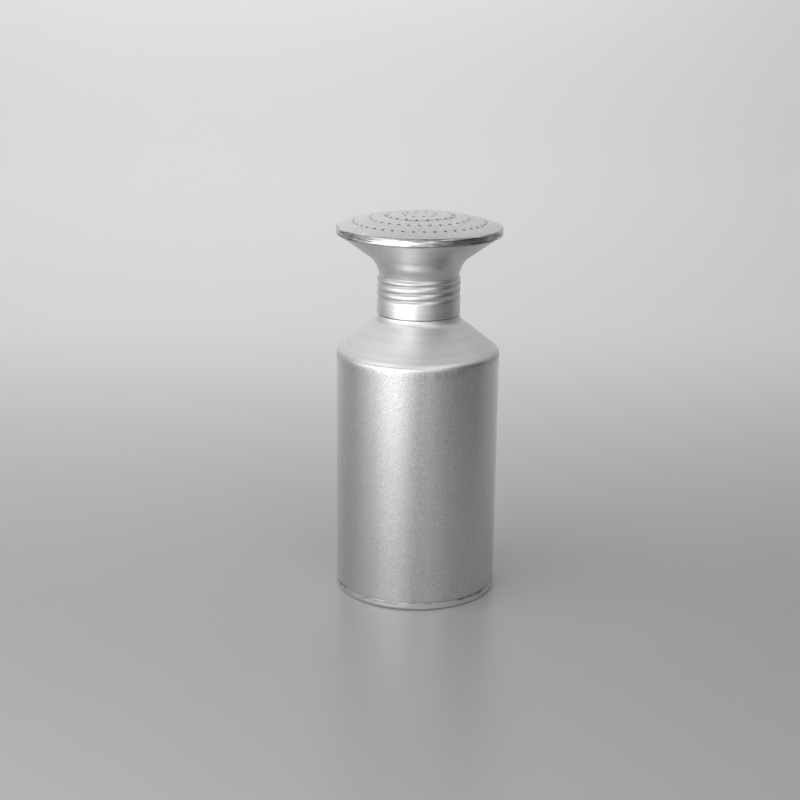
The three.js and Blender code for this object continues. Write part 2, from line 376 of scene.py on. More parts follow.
def pan_outline():
    outer_bend = arc((pan_centre_radius, PAN_BEND), PAN_BEND, -90, 0, 10)
    inner_bend = arc((pan_centre_radius, PAN_BEND), PAN_BEND - PAN_WALL, 0, -90, 6)
    lip_outer = (body_radius - PAN_LIP_EDGE, seam_height - PAN_LIP_EDGE)
    lip_inner = (body_radius - PAN_WALL + PAN_LIP_EDGE, seam_height - PAN_LIP_EDGE)
    return [
        (0, RECESS_DEPTH),
        *line((0, RECESS_DEPTH), (recess_radius, RECESS_DEPTH), 14),
        (recess_radius, RECESS_DEPTH),
        *line((recess_radius, RECESS_DEPTH), (standing_inner, 0), 6),
        (standing_inner, 0),
        *line((standing_inner, 0), outer_bend[0], 5),
        *outer_bend,
        *line(outer_bend[-1], (body_radius, seam_height - PAN_LIP_EDGE), 5),
        *arc(lip_outer, PAN_LIP_EDGE, 0, 90, 4),
        *arc(lip_inner, PAN_LIP_EDGE, 90, 180, 4),
        *line((body_radius - PAN_WALL, seam_height - PAN_LIP_EDGE), inner_bend[0], 4),
        *inner_bend,
        *line(inner_bend[-1], (standing_inner, PAN_WALL), 4),
        (standing_inner, PAN_WALL),
        *line((standing_inner, PAN_WALL), (recess_radius, RECESS_DEPTH + PAN_WALL), 4),
        (recess_radius, RECESS_DEPTH + PAN_WALL),
        *line((recess_radius, RECESS_DEPTH + PAN_WALL), (0, RECESS_DEPTH + PAN_WALL), 8),
        (0, RECESS_DEPTH + PAN_WALL),
    ]


def push_pan(radius, height, angle):
    """Lifts the lip by a share that wanders round the can, so that the seam opens and closes."""
    wander = 0
    for wander_share, waves, phase, other_waves, other_phase in LIP_WANDERS:
        wave = np.sin(waves * angle + phase) * np.sin(other_waves * angle + other_phase)
        wander = wander + wander_share * wave
    lift = SEAM_OPEN + (SEAM_CLOSED - SEAM_OPEN) * smooth_step(CLOSING_FROM, CLOSED_FROM, wander)
    at_lip = (height > seam_height - 2 * PAN_LIP_EDGE) & (radius > recess_radius)
    return radius, height + np.where(at_lip, lift, 0)


pan = spin("bottom_pan", pan_outline(), AROUND, push_pan)

# %% [markdown]
# ## The sealing ring
# Between the neck's lip and the ledge in the lid lies a soft washer that keeps powder out of the
# thread. It hides in the closed shaker. It is cut from a flat sheet, and its edges are a little
# rounded.

# %% Sealing ring
SEAL_OVERHANG = 0.0007
SEAL_ROUND = 0.0003
seal_outer = seal_high.x
seal_inner = NECK_ROOT - NECK_WALL - SEAL_OVERHANG


def seal_outline():
    low, high = seal_low.z + SEAL_ROUND, seal_high.z - SEAL_ROUND
    return [
        *arc((seal_outer - SEAL_ROUND, low), SEAL_ROUND, -90, 0, 5),
        *arc((seal_outer - SEAL_ROUND, high), SEAL_ROUND, 0, 90, 5),
        *line((seal_outer - SEAL_ROUND, seal_high.z), (seal_inner + SEAL_ROUND, seal_high.z), 5),
        *arc((seal_inner + SEAL_ROUND, high), SEAL_ROUND, 90, 180, 5),
        *arc((seal_inner + SEAL_ROUND, low), SEAL_ROUND, 180, 270, 5),
        *line((seal_inner + SEAL_ROUND, seal_low.z), (seal_outer - SEAL_ROUND, seal_low.z), 5),
    ]


seal = spin("sealing_washer", seal_outline(), AROUND)

# %% [markdown]
# ## The lid's collar
# One spun sheet makes the threaded skirt, the throat and the flare. The ribs between the grooves
# bulge softly, and the uppermost rib rounds off to a level end. The throat is drawn in above it and
# sags in a slow curve up to the flare, which bends out and runs straight to the rim, where the plate
# is rolled round it.

# %% Lid collar sizes
COLLAR_WALL = 0.0008
COLLAR_EDGE = 0.00035
RIB_TOP_EDGE = 0.0003
THROAT_INSET = 0.00057
THROAT_DRAW_IN = 0.0004
THROAT_HEIGHT = 0.005
RIB_OVER_LEDGE = 0.0001
FLARE_BEND = 0.013
FLARE_ANGLE_DEG = 54
HOOK_DEPTH = 0.0007
HOOK_ROUND = 0.0003
RIM_CLEARANCE = 0.0004
PLATE_WALL = 0.0008
RIB_TOP_INSET = 0.0002
LID_THREAD_START = 0.1559
LID_THREAD_FADE = 0.0022
LID_THREAD_END = 0.1684
LID_THREAD_ROWS = 100
LID_INSIDE_ROWS = 84
collar_radius = FOOT_RADIUS + SEAT_GAP
throat_radius = collar_radius - THROAT_INSET
ledge_height = seal_high.z + SEAT_GAP
rib_top = ledge_height - RIB_TOP_INSET
lip_radius = rim_radius - PLATE_WALL - RIM_CLEARANCE
hook_radius = lip_radius - HOOK_DEPTH
flare_centre = (throat_radius + FLARE_BEND, rib_top)
rib_edge = ledge_height + RIB_OVER_LEDGE


def flare_height(bend, radius):
    """Height of the flare's straight part at a radius, for the outer or the inner bend."""
    top = arc(flare_centre, bend, 180 - FLARE_ANGLE_DEG, 180 - FLARE_ANGLE_DEG, 1)[0]
    return top[1] + (radius - top[0]) / math.tan(math.radians(FLARE_ANGLE_DEG))


flare_top = flare_height(FLARE_BEND, hook_radius)
hook_top = rim_bottom + PLATE_WALL + RIM_CLEARANCE
print("the flare meets the rim at", round(flare_top, 5))

# %% Lid collar outline and mesh


def sagging_line(low, high, end_slope, count):
    """A curve from low to high that arrives with a slope, as radius gained for each step of height."""
    rise = high[1] - low[1]
    gained = high[0] - low[0]
    along = np.linspace(0, 1, count)
    start_slope = 2 * gained / rise - end_slope
    radii = low[0] + rise * (start_slope * along + (end_slope - start_slope) * along ** 2 / 2)
    return [(float(radius), float(low[1] + rise * share)) for radius, share in zip(radii, along)]


def collar_outside():
    edge_centre = (collar_radius - COLLAR_EDGE, collar_low.z + COLLAR_EDGE)
    low_edge = arc(edge_centre, COLLAR_EDGE, -90, 0, 5)
    step = math.degrees(math.asin(THROAT_HEIGHT / FLARE_BEND))
    flare = arc(flare_centre, FLARE_BEND, 180 - step, 180 - FLARE_ANGLE_DEG, 26)
    rib_end = (collar_radius, rib_edge)
    crease = (throat_radius - THROAT_DRAW_IN, rib_edge + RIB_TOP_EDGE / 2)
    throat = sagging_line(crease, flare[0], math.tan(math.radians(step)), 10)
    hook_low = (hook_radius - HOOK_ROUND, flare_height(FLARE_BEND, hook_radius - HOOK_ROUND))
    return [
        *low_edge,
        *line(low_edge[-1], (collar_radius, LID_THREAD_START), 14),
        *even_line((collar_radius, LID_THREAD_START), rib_end, LID_THREAD_ROWS),
        rib_end,
        *throat,
        *flare[1:],
        *line(flare[-1], hook_low, 20),
        hook_low,
        (hook_radius, flare_top + HOOK_ROUND),
        (hook_radius, hook_top - RIM_CLEARANCE),
        (lip_radius, hook_top),
        (lip_radius, collar_high.z),
    ]


def collar_inside():
    inner = collar_radius - COLLAR_WALL
    lip_inner = hook_radius - COLLAR_WALL
    bend = FLARE_BEND + COLLAR_WALL
    step = math.degrees(math.asin((ledge_height - flare_centre[1]) / bend))
    flare = arc(flare_centre, bend, 180 - FLARE_ANGLE_DEG, 180 - step, 20)
    lip_low = (lip_inner, flare_height(bend, lip_inner))
    low = (inner, collar_low.z + COLLAR_EDGE)
    return [
        (lip_inner, collar_high.z),
        *line((lip_inner, collar_high.z), lip_low, 4),
        lip_low,
        *line(lip_low, flare[0], 12),
        *flare,
        (inner, ledge_height),
        *even_line((inner, ledge_height), (inner, LID_THREAD_START), LID_INSIDE_ROWS),
        *line((inner, LID_THREAD_START), low, 8),
        *arc((inner + COLLAR_EDGE, collar_low.z + COLLAR_EDGE), COLLAR_EDGE, 180, 270, 5),
    ]


def push_collar(radius, height, angle):
    """Presses the grooves into the skirt. Outside, the top rib also rounds off to a level end."""
    inner_side = collar_radius - COLLAR_WALL - COLLAR_EDGE
    fade_low = smooth_step(LID_THREAD_START, LID_THREAD_START + LID_THREAD_FADE, height)
    fade_high = 1 - smooth_step(LID_THREAD_END - LID_THREAD_FADE, LID_THREAD_END, height)
    level_end = bead(np.clip((rib_edge - height) / THREAD_LEAD, 0, 0.5))
    pressed = fade_low * groove(height, angle)
    outside = radius > collar_radius - COLLAR_WALL / 2
    on_skirt = (radius > inner_side) & (height < rib_edge + RIB_TOP_EDGE / 4)
    depth = THREAD_DEPTH * np.where(outside, np.maximum(pressed, level_end), fade_high * pressed)
    return radius - np.where(on_skirt, depth, 0), height


collar = spin("lid_collar_spun", collar_outside() + collar_inside(), AROUND, push_collar)

# %% [markdown]
# ## The sprinkler plate
# The plate is a shallow dome with a small raised disc in the middle and a rolled rim. A punch leaves
# each hole with a soft pulled-down edge on the side it came from. Cutting a hundred holes with a
# Boolean would leave long thin faces that shade badly, so the mesh is laid out round the holes:
# each hole sits in its own cell, with loops of points that close in on it.

# %% Plate sizes
RIM_ROLL = 0.0011
RIM_LIP = 0.0005
DOME_RADIUS = 0.0415
DOME_HEIGHT = 0.0057
DOME_POWER = 2.4
DISC_RADIUS = 0.0174
DISC_STEP = 0.001
DISC_RISE = 0.00035
DISC_CROWN = 0.00045
HOLE_RADIUS = 0.0008
HOLE_SPACING = 0.0085
HOLES_PER_RING = 10
HOLE_RING_TURNS_DEG = [12.5, -5.6, -0.9, -5.8]


def dome_drop(radius):
    """How far the dome has fallen from its middle at a radius."""
    return DOME_HEIGHT * (radius / DOME_RADIUS) ** DOME_POWER


dome_top = plate_high.z - DISC_RISE - DISC_CROWN + dome_drop(DISC_RADIUS)
roll_end_deg = 90 - math.degrees(math.atan(DOME_HEIGHT * DOME_POWER / DOME_RADIUS))
roll_end_radius = rim_radius - RIM_ROLL * (1 - math.cos(math.radians(roll_end_deg)))
roll_drop = dome_drop(roll_end_radius) + RIM_ROLL * math.sin(math.radians(roll_end_deg))
roll_centre = (rim_radius - RIM_ROLL, dome_top - roll_drop)


def plate_height(radius):
    """Height of the plate's upper face: the dome, and the raised disc with its soft step."""
    dome = dome_top - dome_drop(radius)
    step = 1 - smooth_step(DISC_RADIUS - DISC_STEP / 2, DISC_RADIUS + DISC_STEP, radius)
    crown = DISC_CROWN * (1 - (radius / DISC_RADIUS) ** 2)
    disc = dome_top - dome_drop(DISC_RADIUS) + DISC_RISE + crown
    return dome * (1 - step) + disc * step


print("crown at", round(float(plate_height(0.0)), 5), "of", round(plate_high.z, 5))

# %% Plate mesh, laid out round its holes
CELL_HALF = 0.0021
CELL_SIDE_POINTS = 6
CELL_TOP_POINTS = 8
PULL_RADIUS = 0.0014
PULL_DEPTH = 0.00007
LOOP_RADII = [0.0017, 0.00145, 0.00125, 0.00108, 0.00097, 0.0009, 0.00085, 0.00082, 0.0008]
HOLE_FLARE = 1.06
FLAT_STEPS = 5


class SheetBuilder:
    """Collects the points and faces of the plate's sheet."""

    def __init__(self):
        self.points = []
        self.faces = []

    def add(self, points):
        """Adds points and returns their numbers."""
        first = len(self.points)
        self.points.extend(tuple(p) for p in points)
        return list(range(first, first + len(points)))

    def add_circle(self, radius, height, count, turn):
        """Adds a level circle of points round the axis and returns their numbers."""
        angles = turn + np.linspace(0, TURN, count, endpoint=False)
        return self.add(on_circle(radius, angles, np.full(count, height)))

    def join(self, outer, inner):
        """Fills the band between two closed loops, which may have different numbers of points."""
        a, b = 0, 0
        while a < len(outer) or b < len(inner):
            outer_is_behind = (a + 1) / len(outer) <= (b + 1) / len(inner)
            step_outer = b >= len(inner) or (a < len(outer) and outer_is_behind)
            step_both = a < len(outer) and b < len(inner) and len(outer) == len(inner)
            corner_a, corner_b = outer[a % len(outer)], inner[b % len(inner)]
            next_a, next_b = outer[(a + 1) % len(outer)], inner[(b + 1) % len(inner)]
            if step_both:
                self.faces.append((corner_a, next_a, next_b, corner_b))
                a, b = a + 1, b + 1
            elif step_outer:
                self.faces.append((corner_a, next_a, corner_b))
                a += 1
            else:
                self.faces.append((corner_a, next_b, corner_b))
                b += 1


def on_circle(radius, angles, heights):
    """Points at a distance from the axis, one for each angle and height."""
    return np.stack([radius * np.sin(angles), -radius * np.cos(angles), heights], axis=1)


def hole_places(ring):
    """The angles of a ring's holes."""
    count = HOLES_PER_RING * (ring + 1)
    return math.radians(HOLE_RING_TURNS_DEG[ring]) + np.linspace(0, TURN, count, endpoint=False)


def add_hole_band(sheet, ring, drop, hole_scale):
    """A band of cells with a hole in each. Returns its outer and inner loop and its hole edges."""
    radius = HOLE_SPACING * (ring + 1)
    places = hole_places(ring)
    count = len(places)
    first_turn = places[0] - math.pi / count
    around = count * CELL_TOP_POINTS
    turn_steps = first_turn + np.linspace(0, TURN, around, endpoint=False)
    loops = []
    for reach in (CELL_HALF, -CELL_HALF):
        at = np.full(around, radius + reach)
        loops.append(sheet.add(on_circle(at, turn_steps, plate_height(at) - drop)))
    outer, inner = loops
    side_reach = np.linspace(CELL_HALF, -CELL_HALF, CELL_SIDE_POINTS + 1)[1:-1]
    sides = []
    for i in range(count):
        angle = first_turn + TURN * i / count
        at = radius + side_reach
        sides.append(sheet.add(on_circle(at, angle, plate_height(at) - drop)))
    edges = []
    for i in range(count):
        start = i * CELL_TOP_POINTS
        top = [outer[(start + k) % around] for k in range(CELL_TOP_POINTS + 1)]
        bottom = [inner[(start + k) % around] for k in range(CELL_TOP_POINTS + 1)]
        right = sides[(i + 1) % count]
        left = sides[i]
        loop = top + right + bottom[::-1] + left[::-1]
        outline = np.array([sheet.points[n] for n in loop])
        centre = np.array([radius * math.sin(places[i]), -radius * math.cos(places[i])])
        away = outline[:, :2] - centre
        away /= np.linalg.norm(away, axis=1)[:, None]
        for loop_radius in LOOP_RADII:
            spot = centre + away * loop_radius * hole_scale
            pull = PULL_DEPTH * smooth_step(PULL_RADIUS, HOLE_RADIUS, loop_radius) ** 2
            height = plate_height(np.linalg.norm(spot, axis=1)) - drop - pull
            following = sheet.add(np.column_stack([spot, height]))
            sheet.join(loop, following)
            loop = following
        edges.append(loop)
    return outer, inner, edges


def add_plate_face(sheet, drop, hole_scale):
    """One face of the plate from its edge to its crown. Returns its outer loop and its hole edges."""
    outer_loop = None
    last = None
    edges = []
    for ring in reversed(range(len(HOLE_RING_TURNS_DEG))):
        outer, inner, ring_edges = add_hole_band(sheet, ring, drop, hole_scale)
        edges.extend(ring_edges)
        turn = hole_places(ring)[0] - math.pi / len(ring_edges)
        start = roll_end_radius if last is None else HOLE_SPACING * (ring + 2) - CELL_HALF
        radii = np.linspace(start, HOLE_SPACING * (ring + 1) + CELL_HALF, FLAT_STEPS + 1)
        for radius in radii[0 if last is None else 1:-1]:
            circle = sheet.add_circle(radius, plate_height(radius) - drop, len(outer), turn)
            if last is None:
                outer_loop = circle
            else:
                sheet.join(last, circle)
            last = circle
        sheet.join(last, outer)
        last = inner
    for radius in np.linspace(HOLE_SPACING - CELL_HALF, 0, FLAT_STEPS + 2)[1:-1]:
        circle = sheet.add_circle(radius, plate_height(radius) - drop, len(last), turn)
        sheet.join(last, circle)
        last = circle
    crown = sheet.add([(0, 0, plate_height(0) - drop)])
    sheet.join(last, crown)
    return outer_loop, edges


print("holes:", sum(len(hole_places(ring)) for ring in range(len(HOLE_RING_TURNS_DEG))))

# %% Plate
RIM_EDGE = 0.0002


def add_rim(sheet, count, turn, upper, under):
    """The rolled rim, from the plate's upper face round the lip and back to its under face."""
    lip_centre = (rim_radius - RIM_LIP, rim_bottom + RIM_LIP)
    roll_wall = RIM_ROLL - PLATE_WALL
    wall_inner = rim_radius - PLATE_WALL
    wall_low = (wall_inner, rim_bottom + PLATE_WALL)
    lip_inner = hook_radius + RIM_CLEARANCE
    rows = [
        *arc(roll_centre, RIM_ROLL, roll_end_deg, 0, 16)[1:],
        *line((rim_radius, roll_centre[1]), (rim_radius, lip_centre[1]), 4),
        *arc(lip_centre, RIM_LIP, 0, -90, 8),
        (lip_inner + RIM_EDGE, rim_bottom),
        (lip_inner, rim_bottom + RIM_EDGE),
        (lip_inner, rim_bottom + PLATE_WALL),
        wall_low,
        *line(wall_low, (wall_inner, roll_centre[1]), 3),
        *arc(roll_centre, roll_wall, 0, roll_end_deg, 8)[:-1],
    ]
    last = upper
    for radius, height in rows:
        circle = sheet.add_circle(radius, height, count, turn)
        sheet.join(last, circle)
        last = circle
    sheet.join(last, under)


def make_plate():
    sheet = SheetBuilder()
    upper, upper_holes = add_plate_face(sheet, 0, 1)
    under, under_holes = add_plate_face(sheet, PLATE_WALL, HOLE_FLARE)
    for top_edge, low_edge in zip(upper_holes, under_holes):
        sheet.join(top_edge, low_edge)
    outer_ring = len(HOLE_RING_TURNS_DEG) - 1
    turn = hole_places(outer_ring)[0] - math.pi / len(hole_places(outer_ring))
    add_rim(sheet, len(upper), turn, upper, under)
    piece = mesh_object("sprinkler_top", sheet.points, sheet.faces)
    print("sprinkler_top has", len(piece.data.polygons), "faces")
    return piece


plate = make_plate()

# %% [markdown]
# ## Shared finishes
# All the metal is the same aluminium, worked in different ways, so the workings are node groups
# that each material places with its own values. Frosting is a fine grain, turning leaves rings that
# follow the profile, and handling leaves smudges and hair scratches. First come a few short helpers,
# because a node made by hand takes four lines and these finishes have more than two hundred nodes.

# %% Node helpers


def new_group(name, inputs, outputs):
    """A shader node group with named sockets. Returns the group, its input node and its output node."""
    group = bpy.data.node_groups.new(name, "ShaderNodeTree")
    for title, kind, value in inputs:
        socket = group.interface.new_socket(title, in_out="INPUT", socket_type=kind)
        if value is not None:
            socket.default_value = value
    for title, kind in outputs:
        group.interface.new_socket(title, in_out="OUTPUT", socket_type=kind)
    return group, group.nodes.new("NodeGroupInput"), group.nodes.new("NodeGroupOutput")


def feed(tree, socket, value):
    """Links a socket to a node's input, or sets the input to a plain value."""
    if isinstance(value, bpy.types.NodeSocket):
        tree.links.new(value, socket)
    elif value is not None:
        socket.default_value = value


def math_node(tree, operation, *values):
    """A Math node with its inputs filled in order."""
    node = tree.nodes.new("ShaderNodeMath")
    node.operation = operation
    for socket, value in zip(node.inputs, values):
        feed(tree, socket, value)
    return node.outputs[0]


def map_range(tree, value, from_low, from_high, to_low, to_high, smooth=False):
    """Moves a value from one range to another. With smooth it starts and ends softly."""
    node = tree.nodes.new("ShaderNodeMapRange")
    node.interpolation_type = "SMOOTHSTEP" if smooth else "LINEAR"
    for socket, given in zip(node.inputs, (value, from_low, from_high, to_low, to_high)):
        feed(tree, socket, given)
    return node.outputs["Result"]


def noise(tree, vector, scale, detail, rough, dimensions="3D", w=None):
    """A Noise texture's value. scale is in features per metre, and w is the place of a 1D noise."""
    node = tree.nodes.new("ShaderNodeTexNoise")
    node.noise_dimensions = dimensions
    if dimensions != "1D":
        feed(tree, node.inputs["Vector"], vector)
    if w is not None:
        feed(tree, node.inputs["W"], w)
    feed(tree, node.inputs["Scale"], scale)
    feed(tree, node.inputs["Detail"], detail)
    feed(tree, node.inputs["Roughness"], rough)
    return node.outputs["Fac"]


def stretched(tree, vector, x, y, z):
    """A place scaled along each axis. A share below 1 draws a pattern out along that axis."""
    node = tree.nodes.new("ShaderNodeVectorMath")
    node.operation = "MULTIPLY"
    feed(tree, node.inputs[0], vector)
    node.inputs[1].default_value = (x, y, z)
    return node.outputs[0]


def mix_values(tree, share, first, second):
    """The first value where share is 0 and the second where it is 1."""
    node = tree.nodes.new("ShaderNodeMix")
    node.data_type = "FLOAT"
    feed(tree, node.inputs[0], share)
    feed(tree, node.inputs[2], first)
    feed(tree, node.inputs[3], second)
    return node.outputs[0]


def mix_colours(tree, share, first, second):
    """The first colour where share is 0 and the second where it is 1."""
    node = tree.nodes.new("ShaderNodeMix")
    node.data_type = "RGBA"
    feed(tree, node.inputs[0], share)
    feed(tree, node.inputs[6], first)
    feed(tree, node.inputs[7], second)
    return node.outputs[2]


VALUE = "NodeSocketFloat"
VECTOR = "NodeSocketVector"

# %% [markdown]
# ### Frosting
# A matt aluminium surface is covered in tiny pits. Two sizes of noise make its relief: a grain of a
# few tenths of a millimetre that makes the surface sparkle, and a softer orange peel that is broader.
# A third noise gives flecks for the colour, because a camera sees the grain as light and dark specks
# even where the light is soft. All are drawn out a little upwards, the way the tube was drawn.

# %% Frosting group
UPWARD_DRAW = 0.6
GRAIN_SHARE = 0.45
PEEL_SHARE = 0.55
FLECK_SCALE_SHARE = 0.8
NOISE_LOW = 0.3
NOISE_HIGH = 0.7


def frosting_group():
    group, given, made = new_group(
        "frosting",
        [("Place", VECTOR, None), ("Grain scale", VALUE, 1000.0), ("Peel scale", VALUE, 700.0)],
        [("Height", VALUE), ("Fleck", VALUE)],
    )
    place = stretched(group, given.outputs["Place"], 1, 1, UPWARD_DRAW)
    grain = noise(group, place, given.outputs["Grain scale"], detail=3, rough=0.6)
    peel = noise(group, place, given.outputs["Peel scale"], detail=1, rough=0.4)
    peel = math_node(group, "MULTIPLY", peel, PEEL_SHARE)
    height = math_node(group, "MULTIPLY_ADD", grain, GRAIN_SHARE, peel)
    fleck_scale = math_node(group, "MULTIPLY", given.outputs["Grain scale"], FLECK_SCALE_SHARE)
    speck = noise(group, place, fleck_scale, detail=1, rough=0.6)
    fleck = map_range(group, speck, NOISE_LOW, NOISE_HIGH, 0, 1)
    group.links.new(height, made.inputs["Height"])
    group.links.new(fleck, made.inputs["Fleck"])
    return group


frosting = frosting_group()
print("group:", frosting.name, [s.name for s in frosting.interface.items_tree])

# %% [markdown]
# ### Turning lines
# A tool held against spinning metal leaves rings. Each ring is the same all the way round, so the
# pattern is a one-dimensional noise along the profile: the height on an upright wall, the distance
# from the axis on a flat face. The rings fade in and out a little round the part. The group gives
# them three times: as relief, as fine lines for the colour, and as broad bands.

# %% Turning group
BAND_SHARE = 0.13
FADE_SCALE = 45.0
FAINTEST_RINGS = 0.55


def turning_group():
    group, given, made = new_group(
        "turning lines",
        [("Place", VECTOR, None), ("Along", VALUE, 0.0), ("Lines per metre", VALUE, 3000.0)],
        [("Height", VALUE), ("Band", VALUE), ("Line", VALUE)],
    )
    scaled = math_node(group, "MULTIPLY", given.outputs["Along"], given.outputs["Lines per metre"])
    fine = noise(group, None, 1.0, detail=4, rough=0.65, dimensions="1D", w=scaled)
    broad = noise(group, None, BAND_SHARE, detail=2, rough=0.5, dimensions="1D", w=scaled)
    fade = noise(group, given.outputs["Place"], FADE_SCALE, detail=2, rough=0.5)
    strength = map_range(group, fade, NOISE_LOW, NOISE_HIGH, FAINTEST_RINGS, 1.0)
    height = math_node(group, "MULTIPLY", fine, strength)
    group.links.new(height, made.inputs["Height"])
    group.links.new(map_range(group, broad, NOISE_LOW, NOISE_HIGH, 0, 1), made.inputs["Band"])
    centred = math_node(group, "MULTIPLY", math_node(group, "SUBTRACT", fine, 0.5), strength)
    group.links.new(math_node(group, "MULTIPLY_ADD", centred, 2.0, 0.5), made.inputs["Line"])
    return group


turning = turning_group()
print("group:", turning.name, [s.name for s in turning.interface.items_tree])

# %% [markdown]
# ### Handling
# Hands and shelves leave two things on soft aluminium: cloudy smudges that change how rough it
# looks, and short hair scratches. A noise that is stretched twenty times along one direction breaks
# into short hairs where it comes near its highest values, and three directions are enough.

# %% Handling group
HAIR_TURNS_DEG = ((20, 0, 30), (70, 30, 0), (0, 55, 80))
HAIR_STRETCH = 0.05
HAIR_START = 0.72
HAIR_FULL = 0.78
SCRATCH_SCALE = 900.0
SCRATCH_RELIEF = (0.1, 0.00003)


def handling_group():
    inputs = [
        ("Place", VECTOR, None),
        ("Smudge scale", VALUE, 40.0),
        ("Scratch scale", VALUE, SCRATCH_SCALE),
    ]
    group, given, made = new_group("handling", inputs, [("Smudge", VALUE), ("Scratch", VALUE)])
    place = given.outputs["Place"]
    smudge = noise(group, place, given.outputs["Smudge scale"], detail=4, rough=0.55)
    scratches = None
    for turns in HAIR_TURNS_DEG:
        turned = group.nodes.new("ShaderNodeMapping")
        turned.inputs["Rotation"].default_value = [math.radians(turn) for turn in turns]
        group.links.new(place, turned.inputs["Vector"])
        hair_place = stretched(group, turned.outputs[0], 1, 1, HAIR_STRETCH)
        field = noise(group, hair_place, given.outputs["Scratch scale"], detail=1, rough=0.4)
        hairs = map_range(group, field, HAIR_START, HAIR_FULL, 0, 1, smooth=True)
        scratches = hairs if scratches is None else math_node(group, "MAXIMUM", scratches, hairs)
    group.links.new(map_range(group, smudge, NOISE_LOW, NOISE_HIGH, 0, 1), made.inputs["Smudge"])
    group.links.new(scratches, made.inputs["Scratch"])
    return group


handling = handling_group()
print("group:", handling.name, [s.name for s in handling.interface.items_tree])

# %% Material helpers


def new_material(name, colour, metallic, roughness, anisotropic=0.0):
    """A material with one Principled shader. Returns the material, its tree and the shader."""
    material = bpy.data.materials.new(name)
    material.use_nodes = True
    material.diffuse_color = (*colour, 1)
    tree = material.node_tree
    shader = tree.nodes["Principled BSDF"]
    shader.inputs["Base Color"].default_value = (*colour, 1)
    shader.inputs["Metallic"].default_value = metallic
    shader.inputs["Roughness"].default_value = roughness
    shader.inputs["Anisotropic"].default_value = anisotropic
    return material, tree, shader


def place_group(tree, group, **values):
    """Places a node group. A keyword names an input, with _ for a space."""
    node = tree.nodes.new("ShaderNodeGroup")
    node.node_tree = group
    for name, value in values.items():
        feed(tree, node.inputs[name.replace("_", " ")], value)
    return node


def object_place(tree):
    """The place on the part, its height and its distance from the axis."""
    place = tree.nodes.new("ShaderNodeTexCoord").outputs["Object"]
    parts = tree.nodes.new("ShaderNodeSeparateXYZ")
    tree.links.new(place, parts.inputs[0])
    square_x = math_node(tree, "POWER", parts.outputs[0], 2)
    square_y = math_node(tree, "POWER", parts.outputs[1], 2)
    square = math_node(tree, "ADD", square_x, square_y)
    return place, parts.outputs[2], math_node(tree, "SQRT", square)


def add_relief(tree, shader, *layers):
    """Stacks reliefs on a shader. Each is a height and a pair: its strength and depth in metres."""
    normal = None
    for height, (strength, depth) in layers:
        node = tree.nodes.new("ShaderNodeBump")
        node.inputs["Strength"].default_value = strength
        node.inputs["Distance"].default_value = depth
        feed(tree, node.inputs["Height"], height)
        feed(tree, node.inputs["Normal"], normal)
        normal = node.outputs["Normal"]
    tree.links.new(normal, shader.inputs["Normal"])


def grey(value, warm=0.0):
    """A neutral metal colour, a little warm or cool."""
    return (value * (1 + warm), value, value * (1 - warm), 1)


def turned_tangent(tree, shader):
    """Runs the anisotropy round the part's axis, the way the tool ran."""
    tangent = tree.nodes.new("ShaderNodeTangent")
    tangent.direction_type = "RADIAL"
    tangent.axis = "Z"
    tree.links.new(tangent.outputs["Tangent"], shader.inputs["Tangent"])


# %% [markdown]
# ## Can wall
# The wall is a drawn tube, etched to a satin frost. It is rough enough to spread a window into a
# soft upright band, with a grain that sparkles at the band's edges. At the bend to the shoulder it
# gets rougher, so that the bend catches the light softly, and just under the bend it has short dark
# drag marks. Near the seam it has picked up a little dirt. All of these fade with the height, so each
# is a mask made by a Map Range node, and nothing has to be painted.

# %% Can wall values
WALL_COLOUR = 0.67
WALL_DARK = grey(WALL_COLOUR * 0.82, 0.004)
WALL_LIGHT = grey(WALL_COLOUR * 1.18)
FLECK_TONE = 0.85
STREAK_TONE = 0.3
STREAK_SCALE = 900.0
STREAK_DRAW = 0.03
STREAK_RELIEF = (0.1, 0.00003)
WALL_GRAIN_RELIEF = (0.45, 0.00012)
FLECK_ROUGHNESS = (0.2, 0.15)
SMUDGE_ROUGHNESS = 0.03
BEND_ROUGHNESS = 0.2
ROUGH_BEND = (bend_height - 0.003, bend_height + 0.001)
DRAG_START = (bend_height - 0.006, bend_height - 0.001)
DRAG_END = (bend_height + 0.0005, bend_height - 0.0005)
DRAG_STREAKS = (0.5, 0.62)
DRAG_STRENGTH = 0.6
DRAG_COLOUR = grey(0.2, 0.02)
DIRT_HEIGHTS = (seam_height * 1.02, seam_height * 1.5)
DIRT_SMUDGES = (0.35, 0.8)
DIRT_STRENGTH = 0.5
DIRT_COLOUR = grey(0.16, 0.05)
print("the wall gets rougher from", round(ROUGH_BEND[0], 4), "up to", round(ROUGH_BEND[1], 4))

# %% Can wall material


def rough_wall(tree, height, frost, marks):
    """The wall's roughness: flecked, smudged by hands, and more at the bend."""
    at_bend = map_range(tree, height, *ROUGH_BEND, 0, BEND_ROUGHNESS, smooth=True)
    worn = math_node(tree, "MULTIPLY_ADD", marks.outputs["Smudge"], SMUDGE_ROUGHNESS, at_bend)
    flecked = map_range(tree, frost.outputs["Fleck"], 0, 1, *FLECK_ROUGHNESS)
    return math_node(tree, "ADD", worn, flecked)


def drag_marks(tree, height, streak, marks):
    """A mask of short upright marks under the bend, more where the wall is smudged."""
    under_bend = map_range(tree, height, *DRAG_START, 0, 1, smooth=True)
    below_bend = map_range(tree, height, *DRAG_END, 0, 1, smooth=True)
    drag = math_node(tree, "MULTIPLY", under_bend, below_bend)
    strong_streak = map_range(tree, streak, *DRAG_STREAKS, 0, DRAG_STRENGTH)
    drag = math_node(tree, "MULTIPLY", drag, strong_streak)
    return math_node(tree, "MULTIPLY", drag, marks.outputs["Smudge"])


